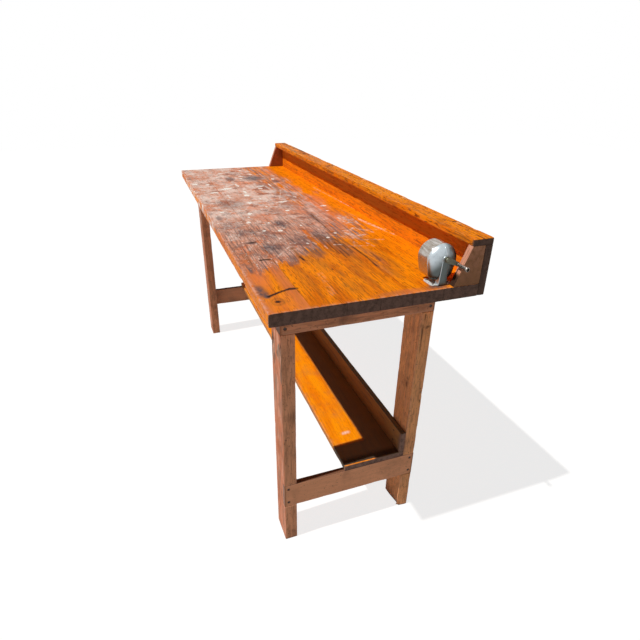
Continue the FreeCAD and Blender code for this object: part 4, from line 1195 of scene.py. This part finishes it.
class WORKBENCH_OT_tool_shelf(bpy.types.Operator):
    """Low shelf on the lower rails, with its upright along the back"""

    bl_idname = "workbench.tool_shelf"
    bl_label = "Tool shelf"

    def execute(self, context):
        wood = context.scene.workbench_wood
        finish = plain_board("shelf_varnish", light=(1.0, 0.34, 0.003), mid=(0.86, 0.23, 0.003),
                             dark=(0.4, 0.07, 0.002), pale=wood.worn_pale, dirt=wood.worn_dark,
                             soak=scaled(wood.end, 2.0), ring=0.013, contrast=0.95, roughness=(0.38, 0.55),
                             wear=0.12, soil=0.3, fine=0.3)
        ends = end_grain("shelf_board_ends", scaled(wood.end, 1.5), scaled(wood.end, 0.6))
        self.shelf(wood, [finish, ends])
        self.upright(wood, [finish, ends])
        return {"FINISHED"}

    def shelf(self, wood, materials):
        """Shelf board with painted shade, dark and dull, over its back half and its near end, where the
        worktop's and a leg's shadows fall.
        """
        low, high = box_of("tool_shelf")
        lit_from = high[0] - SHELF_LIT_END * MM
        board = Board("tool_shelf", ALONG, 401, arris=1.6, nick=wood.nick, ripple=0.4, spacing=0.01,
                      across=0.006,
                      wells=nail_wells(("shelf_nails",), UP, high[2], 1),
                      steps_at=[lit_from - STEP_GAP, lit_from + STEP_GAP])
        mesh = board.mesh(pith=(-0.05, -0.035), tilt=(0.012, -0.006))
        # Painted shade: the top face's back half and near end take the dark dirt colour, and the last few
        # centimetres black as well; the front face is darkened by half all along, and fully at the near end
        # as painted shade.
        x, y, _ = board.bench_places()
        inward = (y - (low[1] - TOP_FRONT) / MM) / ((high[1] - low[1]) / MM)
        old = smooth((inward - SHELF_CLEAN + 0.03 * (rough(x / 120, y / 18, 61) - 0.5)) * 25)
        near_end = smooth((x - SHELF_END_DIRT) / 12) * (x < x.max() - SHELF_LIT_END)
        upper = board.facing(UP, 1)
        front = board.facing(BACK, -1)
        dirty = np.maximum(upper * np.maximum(old, near_end), front * np.maximum(near_end, 0.5))
        note(mesh, grimy=0.86 * dirty, chalk=np.minimum(1.6 * blob(x, y, (SHELF_SPOT,)), 1),
             mark=0.8 * upper * near_end * smooth((x - x.max() + 40) / 20))
        board_piece(board, mesh, materials, "shelf_wood")

    def upright(self, wood, materials):
        """Board on edge along the back of the shelf, darkened all over, and its top face further as painted
        shade.
        """
        low, _ = box_of("shelf_upright")
        board = Board("shelf_upright", ALONG, 402, arris=1.6, nick=wood.nick, spacing=0.015, across=0.006,
                      wells=nail_wells(("upright_nails",), BACK, low[1], -1))
        mesh = board.mesh(pith=(-0.04, 0.02), tilt=(0.006, 0.008))
        # Painted shade: the top face is darkened further than the rest.
        note(mesh, grimy=0.62 + 0.3 * board.facing(UP, 1))
        board_piece(board, mesh, materials, "shelf_wood")


# Screw heads: half the slot's width in radii, then radius and dome of each kind
SLOT_HALF = 0.17
RAIL_HEAD = (0.0041, 0.0007)
FOOT_HEAD = (0.0042, 0.0012)
HEAD_RINGS = np.array([1.0, 1.0, 0.97, 0.9, 0.78, 0.64, 0.5, 0.36, 0.22, 0.08])
FIXINGS = (*RAIL_SCREWS, "top_screws", "cap_nails", "back_board_nails", "cheek_nails", "shelf_nails",
           "upright_nails", "foot_screws")


def slotted_head(place, outward, radius, dome, turn):
    """Round screw head: rings whose height falls as the square of the radius, with a slot pressed across."""
    height = dome * (1 - HEAD_RINGS ** 2)
    height[0] = -dome
    flat = radius * HEAD_RINGS[:, None, None] * round_rays(40)[None]
    slot = smooth((SLOT_HALF * radius - np.abs(flat[..., 0])) / (0.12 * radius))
    rise = height[:, None] - slot * (HEAD_RINGS < 0.99)[:, None] * dome * 0.9
    axis = np.asarray(outward, float)
    first = np.cross(axis, (0.3, 0.5, 0.81))
    first /= np.linalg.norm(first)
    second = np.cross(axis, first)
    one = math.cos(turn) * first + math.sin(turn) * second
    two = math.cos(turn) * second - math.sin(turn) * first
    rings = np.asarray(place) + flat[..., :1] * one + flat[..., 1:] * two + rise[..., None] * axis
    mesh = skin("head", rings)
    one_finish(mesh)
    return mesh


class WORKBENCH_OT_fixings(bpy.types.Operator):
    """Dark nails and screws, with slotted heads where they show"""

    bl_idname = "workbench.fixings"
    bl_label = "Fixings"

    def execute(self, context):
        iron = plated("dark_iron", context.scene.workbench_metal.iron, (0.09, 0.04, 0.02), 0.5, 0.75)
        for node in FIXINGS:
            refinish(node, iron)
        dice = np.random.default_rng(19)
        heads = []
        for low, high in [box for node in RAIL_SCREWS for box in fastener_boxes(node, ALONG)]:
            side = np.sign(low[0])
            place = (high[0] if side > 0 else low[0], (low[1] + high[1]) / 2, (low[2] + high[2]) / 2)
            heads.append(slotted_head(place, (side, 0, 0), *RAIL_HEAD, dice.uniform(0, math.pi)))
        piece("rail_screw_heads", joined("rail_screw_heads", heads), [iron], BENCH, "fixings")
        heads = []
        for low, high in fastener_boxes("foot_screws", UP):
            place = ((low[0] + high[0]) / 2, (low[1] + high[1]) / 2, high[2])
            heads.append(slotted_head(place, (0, 0, 1), *FOOT_HEAD, dice.uniform(0, math.pi)))
        piece("foot_screw_heads", joined("foot_screw_heads", heads), [iron], BENCH, "fixings")
        return {"FINISHED"}


# Sharpener: millimetres from the hub's face on the crank's axis, x along the axis and z up
HUB = np.array([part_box("sharpener_frame")[1][0], *np.mean(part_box("ring_gear"), 0)[1:]])
EGG = ((0, -7, 41), (13, -38, 22), (-13, -38, 22))
RIM_X = -22.0
DOME_FOOT = 2.8
DOME_RISE = 15.6
DOME_WIDTH = 26
DOME_INSET = 15.6
HUB_RADIUS = 10.6
# Spine: its front and back faces, then its half width and how far it stands proud of the dome by height
SPINE_FACE = -2.0
SPINE_BACK = -17.0
SPINE_HALF = ((-70, 0, 10, 22, 33.5), (13, 8, 5.5, 3, 2.5))
SPINE_PROUD = ((0, 18, 28, 33.5), (1.6, 2.2, 1.4, -0.4))
CUP_FACE = -22.3
CUP_END = -70.0
CUP_WALL = 1.0
CUP_BEND = 3.4
CUP_HOLE = 6.5
# Hub's shoulder and bores: radius and place along the axis
HUB_PROFILE = (
    (9.8, -3.1), (9.2, -2.7),
    (9, -2.0), (9, -0.9), (8.4, -0.2), (7.6, 0), (3.55, 0), (3.55, -11), (11.7, -11), (11.7, -15.5),
    (17, -15.5))
FOOT_CORNERS = ((-42, -20, 10), (-15, -20, 10), (-15, 20, 10), (-42, 20, 10))
FOOT_TOP = -68.5
FOOT_BASE = -72.0
HANDLE_AT = (34.475, -16.076)


def taut_loop(circles, count):
    """Points and outward normals at an even pace round the taut loop about some circles.

    For each direction the point comes from the circle that reaches furthest that way.
    """
    circles = np.asarray(circles, float)
    turn = np.linspace(0, 2 * math.pi, 2880)
    rays = np.stack([np.cos(turn), np.sin(turn)], 1)
    best = (rays @ circles[:, :2].T + circles[:, 2]).argmax(1)
    points = circles[best, :2] + circles[best, 2:] * rays
    walked = np.concatenate([[0], np.cumsum(np.linalg.norm(np.diff(points, axis=0), axis=1))])
    at = np.linspace(0, walked[-1], count, endpoint=False)
    even = np.stack([np.interp(at, walked, points[:, k]) for k in (0, 1)], 1)
    normal = np.stack([np.interp(at, walked, rays[:, k]) for k in (0, 1)], 1)
    return even, normal / np.linalg.norm(normal, axis=1)[:, None]


def seated(local):
    """Sharpener millimetres to the frame's metres."""
    return HUB + np.asarray(local) * MM


def local_places(mesh):
    """Vertex places in sharpener millimetres."""
    return ((places_of(mesh) - HUB) / MM).T


def stacked(rings):
    """Rings of (y, z) points, each at its own x, as one grid."""
    return np.stack([np.column_stack([np.full(len(ring), x), ring]) for x, ring in rings])


def dome_at(share):
    """Where the casting stands along the axis at a share of the way in from its rim."""
    return RIM_X + DOME_FOOT + DOME_RISE * (1 - (1 - share) ** 2) ** 0.6


def drawn(loop, normal, profile):
    """Rings of a loop, each at an x of the profile and drawn in by the inset there."""
    return [(x, loop - inset * normal) for x, inset in profile]


def housing_mesh():
    """Casting: the egg outline drawn in as it rises to the hub, then back down its bores to the rim.

    The rise is a power of one less the squared share still to go, and the last part of the way blends
    the drawn-in egg into the hub's circle.
    """
    egg, normal = taut_loop(EGG, 144)
    ray = egg / np.linalg.norm(egg, axis=1)[:, None]
    rings = drawn(egg, normal, ((RIM_X, 0.4), (RIM_X + 0.3, -0.3), (RIM_X + 0.9, -0.7), (RIM_X + 1.9, -0.7),
                                (RIM_X + 2.5, -0.2), (RIM_X + 2.7, 0.5)))
    for share in np.concatenate([np.linspace(0.012, 0.1, 6), np.linspace(0.14, 1, 22)]):
        blend = smooth((share - 0.45) / 0.55)
        ring = (1 - blend) * (egg - min(DOME_WIDTH * share, DOME_INSET) * normal) + blend * HUB_RADIUS * ray
        rings.append((dome_at(share), ring))
    rings += [(x, radius * ray) for radius, x in HUB_PROFILE]
    rings.append((RIM_X, HUB_PROFILE[-1][0] * ray))
    return skin("sharpener_housing", seated(stacked(rings)), closed=True)


def post_mesh():
    """Spine and post: a bar of rounded section from the foot over the hub to the dome's top.

    Its half width narrows upwards and flares at the foot; its face is flat to above the hub, then
    follows the dome's curve a little proud of it.
    """
    height = np.concatenate([np.linspace(-70, -60, 12), np.linspace(-57, 6, 20), np.linspace(9, 33.5, 16)])
    flare = np.exp(-(height + 70) / 3.5)
    half = np.interp(height, *SPINE_HALF) + 2.2 * flare
    left = np.clip((34 - height - 0.3) / DOME_WIDTH, 0, 1)
    proud = np.interp(height, *SPINE_PROUD)
    face = np.where(height < 9, SPINE_FACE, np.minimum(SPINE_FACE, dome_at(left) + proud))
    back = np.where(height < -21, SPINE_BACK, face - 6)
    corner = np.repeat([0, 1, 2, 3], 7)
    sweep = np.tile(np.linspace(0, math.pi / 2, 7), 4) + corner * math.pi / 2
    round_by = np.where((corner == 0) | (corner == 3), 2.4, 0.8)[None]
    side_x = np.array([1, -1, -1, 1])[corner][None]
    side_y = np.array([1, 1, -1, -1])[corner][None]
    middle = ((face + back) / 2)[:, None]
    deep = ((face - back) / 2)[:, None]
    x = middle + side_x * (deep - round_by) + round_by * np.cos(sweep)
    y = side_y * (half[:, None] - round_by) + round_by * np.sin(sweep)
    grid = np.stack([x, y, np.broadcast_to(height[:, None], x.shape)], -1)
    mesh = skin("sharpener_post", seated(grid))
    # Painted shade: the whole post is dulled a little, and its flat front face up to just above the hub
    # strongly.
    flat = smooth((np.cos(sweep) - 0.85) / 0.12)[None] * smooth((12 - height) / 10)[:, None]
    note(mesh, dulled=0.25 + 0.7 * flat.ravel())
    return mesh


def foot_mesh():
    """Foot: a loop round four corner circles, carried up through the plate and drawn in at its top edge."""
    loop, normal = taut_loop(FOOT_CORNERS, 120)
    profile = ((FOOT_BASE, 0.3), (FOOT_BASE + 0.3, 0), (FOOT_TOP - 1.4, 0), (FOOT_TOP - 0.8, 0.15),
               (FOOT_TOP - 0.3, 0.5), (FOOT_TOP - 0.06, 1.0), (FOOT_TOP, 1.6), (FOOT_TOP, 4.0))
    rings = [np.column_stack([loop - inset * normal, np.full(len(loop), z)]) for z, inset in profile]
    return skin("sharpener_foot", seated(np.stack(rings)))


def lug_meshes():
    """Lugs inside the rim: a square section carried along short stretches of the egg outline."""
    egg, normal = taut_loop(EGG, 288)
    flank = np.abs(egg[:, 1] + 29) < 7
    stretches = ((np.abs(egg[:, 0]) < 7) & (egg[:, 1] < 0), flank & (egg[:, 0] > 0), flank & (egg[:, 0] < 0))
    meshes = []
    for chosen in stretches:
        run = np.flatnonzero(chosen)
        corners = ((RIM_X + 1, 2.75), (RIM_X + 1, 1.2), (RIM_X - 4.6, 1.2), (RIM_X - 5, 2.75))
        grid = np.stack([np.column_stack([np.full(len(run), x), egg[run] - inset * normal[run]])
                         for x, inset in corners], 1)
        meshes.append(skin("lug", seated(grid)))
    return meshes


def cup_mesh():
    """Chip cup: a thin shell on the egg outline with a hemmed rim and a rounded end with a round hole."""
    egg, normal = taut_loop(EGG, 144)
    ray = egg / np.linalg.norm(egg, axis=1)[:, None]
    bend = np.linspace(0, math.pi / 2, 7)
    inner = CUP_BEND - CUP_WALL
    floor = CUP_END + CUP_WALL
    rings = [(CUP_END, CUP_HOLE * ray), (CUP_END, 6.8 * ray), (CUP_END, egg - 4.2 * normal)]
    rings += [(CUP_END + CUP_BEND * (1 - math.cos(a)), egg - CUP_BEND * (1 - math.sin(a)) * normal)
              for a in bend]
    rings += drawn(egg, normal, (
        (-52, 0), (-38, 0), (-27.2, 0), (-26.8, -0.1), (-26.3, -0.4), (-25.3, -0.55), (-24, -0.55),
        (-23.2, -0.4), (-22.6, -0.05), (CUP_FACE, 0.4), (CUP_FACE, CUP_WALL), (-26, CUP_WALL),
        (-66, CUP_WALL)))
    rings += [(floor + inner * (1 - math.sin(a)), egg - (CUP_WALL + inner * (1 - math.cos(a))) * normal)
              for a in bend[1:]]
    rings += [(floor, 6.8 * ray), (floor, CUP_HOLE * ray)]
    return skin("chip_cup_shell", seated(stacked(rings)), closed=True)


def arm_mesh():
    """Crank arm: a loop round its two eyes, carried through the arm with its arrises drawn in."""
    loop, normal = taut_loop(((0, 0, 8), (*HANDLE_AT, 5.5)), 96)
    profile = ((0.4, 0.8), (0.55, 0.3), (0.9, 0), (2.8, 0), (3.15, 0.25), (3.36, 0.7), (3.4, 1.3))
    return skin("crank_arm_bar", seated(stacked(drawn(loop, normal, profile))))


def lathe(name, profile, centre, closed, count=48):
    """Turned piece: each radius of a profile swept round an axis along x."""
    rings = [(x, np.asarray(centre) + radius * round_rays(count)) for x, radius in profile]
    return skin(name, seated(stacked(rings)), closed)


# Turned pieces: place along the axis and radius
NUT_PROFILE = (
    (3.4, 5.6), (3.6, 6.2), (5.2, 6.3), (6.6, 6.0), (7.8, 5.3), (8.7, 4.1), (9.2, 2.6), (9.4, 1.0))
HANDLE_PROFILE = (
    (3.8, 2.08), (3.8, 4.3), (4.1, 4.7), (5.6, 4.8), (6.4, 4.4), (9, 4.4), (14, 4.65), (22, 5.05),
    (30, 5.45), (38, 5.8), (42, 5.9), (43.2, 5.75), (43.8, 5.3), (43.8, 4.6), (43.5, 4.1),
    (38.8, 4.1), (38.8, 2.08))
# Painted shade in the handle's hollow end: where it starts along the axis, and the radius it reaches, a
# little over the rim
RECESS_FROM = 38
RECESS_RADIUS = 5.2


class WORKBENCH_OT_sharpener_casting(bpy.types.Operator):
    """Domed housing, spine and post, foot and cup lugs of the sharpener"""

    bl_idname = "workbench.sharpener_casting"
    bl_label = "Sharpener casting"

    def execute(self, context):
        metal = context.scene.workbench_metal
        casting = plated("nickel_casting", metal.casting, metal.casting_dull, 0.33, 0.46, amount=0.25)
        worn = plated("worn_foot", metal.foot, metal.casting_dull, 0.5, 0.68, amount=0.5, metallic=0.0)
        housing = housing_mesh()
        _, y, z = local_places(housing)
        # Painted reflection and shade: the housing darkens from its upper left towards its lower right and
        # behind the spine.
        fall = (0.5 * (y + 18) + 0.6 * (15 - z)) / 28
        note(housing, dulled=0.95 * np.maximum(smooth(fall), 0.8 * smooth((y + 3) / 16)))
        piece("sharpener_housing", housing, [casting, casting], BENCH, "plated_casting", "sharpener_frame")
        piece("sharpener_post", post_mesh(), [casting, casting], BENCH, "plated_casting")
        piece("sharpener_foot", foot_mesh(), [worn, worn], BENCH, "plated_casting")
        lugs = joined("sharpener_lugs", lug_meshes())
        piece("sharpener_lugs", lugs, [casting, casting], BENCH, "plated_casting")
        return {"FINISHED"}


class WORKBENCH_OT_sharpener_cup(bpy.types.Operator):
    """Chip cup with its pencil dial and rivet"""

    bl_idname = "workbench.sharpener_cup"
    bl_label = "Chip cup"

    def execute(self, context):
        metal = context.scene.workbench_metal
        cup = plated("bright_cup", metal.cup, metal.cup_tarnish, 0.16, 0.32, amount=0.7, metallic=0.86)
        shell = cup_mesh()
        x, y, z = local_places(shell)
        round_axis = np.arctan2(z + 7, y) * 12
        streaks = patches(x / 30, round_axis, 71, 0.45, 7, 2)
        spots = patches(x / 7, round_axis / 2, 73, 0.5, 7)
        note(shell, dulled=np.maximum(0.6 * streaks, 0.45 * spots) * smooth((z + 2) / 14))
        piece("chip_cup_shell", shell, [cup], "cup", "plated_cup", "chip_cup")
        refinish("dial_rivet", cup)
        refinish("pencil_dial", plated("dial_steel", metal.steel, (0.2, 0.17, 0.14), 0.25, 0.5))
        return {"FINISHED"}


class WORKBENCH_OT_sharpener_crank(bpy.types.Operator):
    """Crank arm, cap nut and turned handle"""

    bl_idname = "workbench.sharpener_crank"
    bl_label = "Crank"

    def execute(self, context):
        metal = context.scene.workbench_metal
        arm = plated("dull_arm", metal.arm, (0.12, 0.1, 0.07), 0.38, 0.6)
        handle = plated("worn_handle", metal.handle, (0.3, 0.25, 0.2), 0.26, 0.5)
        piece("crank_arm_bar", arm_mesh(), [arm, arm], "crank", "dark_steel", "crank_arm")
        nut = lathe("crank_cap_nut", NUT_PROFILE, (0, 0), False)
        piece("crank_cap_nut", nut, [arm, arm], "crank", "dark_steel", "crank_nut")
        grip = lathe("crank_grip", HANDLE_PROFILE, HANDLE_AT, True)
        x, y, z = local_places(grip)
        from_axis = np.hypot(y - HANDLE_AT[0], z - HANDLE_AT[1])
        # Painted shade: the hollow end and most of its rim are blackened.
        note(grip, soot=(x > RECESS_FROM) & (from_axis < RECESS_RADIUS))
        piece("crank_grip", grip, [handle], "handle", "handle_metal", "crank_handle")
        refinish("handle_pin", arm)
        return {"FINISHED"}


class WORKBENCH_OT_sharpener_works(bpy.types.Operator):
    """Steel finish of the ring gear, carrier and cutters"""

    bl_idname = "workbench.sharpener_works"
    bl_label = "Cutter works"

    def execute(self, context):
        metal = context.scene.workbench_metal
        steel = plated("cutter_steel", metal.steel, (0.2, 0.17, 0.14), 0.25, 0.5)
        for node in ("ring_gear", "cutter_carrier", "cutter_pins", "upper_cutter", "lower_cutter"):
            refinish(node, steel)
        return {"FINISHED"}


CAMERA_FORWARD = (-0.8237458, 0.30431712, -0.47836591)
CAMERA_UP = (-0.45330155, 0.15325976, 0.87808266)
CAMERA_SHIFT = (0.005477, 0.015228)
CAMERA_REACH = 60.0
SENSOR_WIDTH = 36.0
SUN_DIRECTION = (-0.046, 1.0, -1.651)
SUN_TINT = (1.0, 0.97, 0.92)
FILL_TINT = (0.88, 0.95, 1.0)
WHITE = (1.0, 1.0, 1.0)
FLOOR_HALF = 9.0
FLOOR_GLOW = 0.8
FLOOR_PALE = 0.25


class WORKBENCH_OT_stage(bpy.types.Operator):
    """Pale floor, key light, even fill and the camera"""

    bl_idname = "workbench.stage"
    bl_label = "Stage"

    def execute(self, context):
        stage = context.scene.workbench_stage
        self.camera(context.scene, stage)
        self.lights(context.scene, stage)
        self.floor(stage)
        context.scene.view_settings.view_transform = "Standard"
        return {"FINISHED"}

    def camera(self, scene, stage):
        """Camera that sees the bench as the photograph does."""
        data = bpy.data.cameras.new("camera")
        data.sensor_width = SENSOR_WIDTH
        data.lens = stage.lens
        data.shift_x, data.shift_y = CAMERA_SHIFT
        data.clip_end = CAMERA_REACH
        forward = Vector(CAMERA_FORWARD).normalized()
        up = Vector(CAMERA_UP).normalized()
        turn = Matrix((forward.cross(up), up, -forward)).transposed().to_4x4()
        turn.translation = Vector(stage.camera_place)
        scene.camera = linked("camera", data)
        scene.camera.matrix_world = turn

    def lights(self, scene, stage):
        """Key light, and a world that looks white but gives only a little fill."""
        data = bpy.data.lights.new("key_light", "SUN")
        data.energy = stage.sun
        data.angle = stage.sun_spread
        data.color = SUN_TINT
        linked("key_light", data).rotation_euler = Vector(SUN_DIRECTION).to_track_quat("-Z", "Y").to_euler()
        scene.world = bpy.data.worlds.new("studio")
        graph = blank(scene.world)
        path = graph.add("ShaderNodeLightPath")
        seen = path["Is Camera Ray"].most(path["Is Glossy Ray"]).most(path["Is Transmission Ray"])
        fill = graph.add("ShaderNodeBackground", {"Color": FILL_TINT, "Strength": stage.fill})[0]
        white = graph.add("ShaderNodeBackground", {"Color": WHITE, "Strength": 1.0})[0]
        mix = graph.add("ShaderNodeMixShader", {0: seen, 1: fill, 2: white})[0]
        graph.add("ShaderNodeOutputWorld", {"Surface": mix})

    def floor(self, stage):
        """Floor that looks pale to the camera, keeps the shadow and gives back a share of the light."""
        corners = [(-FLOOR_HALF, -FLOOR_HALF, 0), (FLOOR_HALF, -FLOOR_HALF, 0),
                   (FLOOR_HALF, FLOOR_HALF, 0), (-FLOOR_HALF, FLOOR_HALF, 0)]
        mesh = bpy.data.meshes.new("floor")
        mesh.from_pydata(corners, [], [(0, 1, 2, 3)])
        mesh.materials.append(bpy.data.materials.new("pale_floor"))
        graph = blank(mesh.materials[0])
        path = graph.add("ShaderNodeLightPath")
        seen = path["Is Camera Ray"].most(path["Is Glossy Ray"])
        dull = graph.add("ShaderNodeBsdfDiffuse", {"Color": [stage.bounce] * 3})[0]
        glow = graph.add("ShaderNodeEmission", {"Color": WHITE, "Strength": FLOOR_GLOW})[0]
        pale = graph.add("ShaderNodeBsdfDiffuse", {"Color": [FLOOR_PALE] * 3})[0]
        both = graph.add("ShaderNodeAddShader", {0: glow, 1: pale})[0]
        mix = graph.add("ShaderNodeMixShader", {0: seen, 1: dull, 2: both})[0]
        graph.add("ShaderNodeOutputMaterial", {"Surface": mix})
        linked("floor", mesh)


OPERATORS = (
    WORKBENCH_OT_stage,
    WORKBENCH_OT_worktop,
    WORKBENCH_OT_back_shelf,
    WORKBENCH_OT_end_frames,
    WORKBENCH_OT_tool_shelf,
    WORKBENCH_OT_fixings,
    WORKBENCH_OT_sharpener_casting,
    WORKBENCH_OT_sharpener_cup,
    WORKBENCH_OT_sharpener_crank,
    WORKBENCH_OT_sharpener_works,
)


class WORKBENCH_PT_panel(bpy.types.Panel):
    """Lists the workbench's pieces"""

    bl_idname = "WORKBENCH_PT_panel"
    bl_label = "Workbench"
    bl_space_type = "VIEW_3D"
    bl_region_type = "UI"
    bl_category = "Workbench"

    def draw(self, context):
        for operator in OPERATORS:
            self.layout.operator(operator.bl_idname)


GROUPS = {
    "workbench_wood": WorkbenchWood,
    "workbench_metal": WorkbenchMetal,
    "workbench_stage": WorkbenchStage,
}


def register():
    for kind in (*GROUPS.values(), *OPERATORS, WORKBENCH_PT_panel):
        bpy.utils.register_class(kind)
    for name, kind in GROUPS.items():
        setattr(bpy.types.Scene, name, bpy.props.PointerProperty(type=kind))


def unregister():
    for name in GROUPS:
        delattr(bpy.types.Scene, name)
    for kind in (WORKBENCH_PT_panel, *reversed(OPERATORS), *GROUPS.values()):
        bpy.utils.unregister_class(kind)


def main():
    register()
    bpy.ops.workbench.stage()
    bpy.ops.workbench.worktop()
    bpy.ops.workbench.back_shelf()
    bpy.ops.workbench.end_frames()
    bpy.ops.workbench.tool_shelf()
    bpy.ops.workbench.fixings()
    bpy.ops.workbench.sharpener_casting()
    bpy.ops.workbench.sharpener_cup()
    bpy.ops.workbench.sharpener_crank()
    bpy.ops.workbench.sharpener_works()


if __name__ == "__main__":
    main()
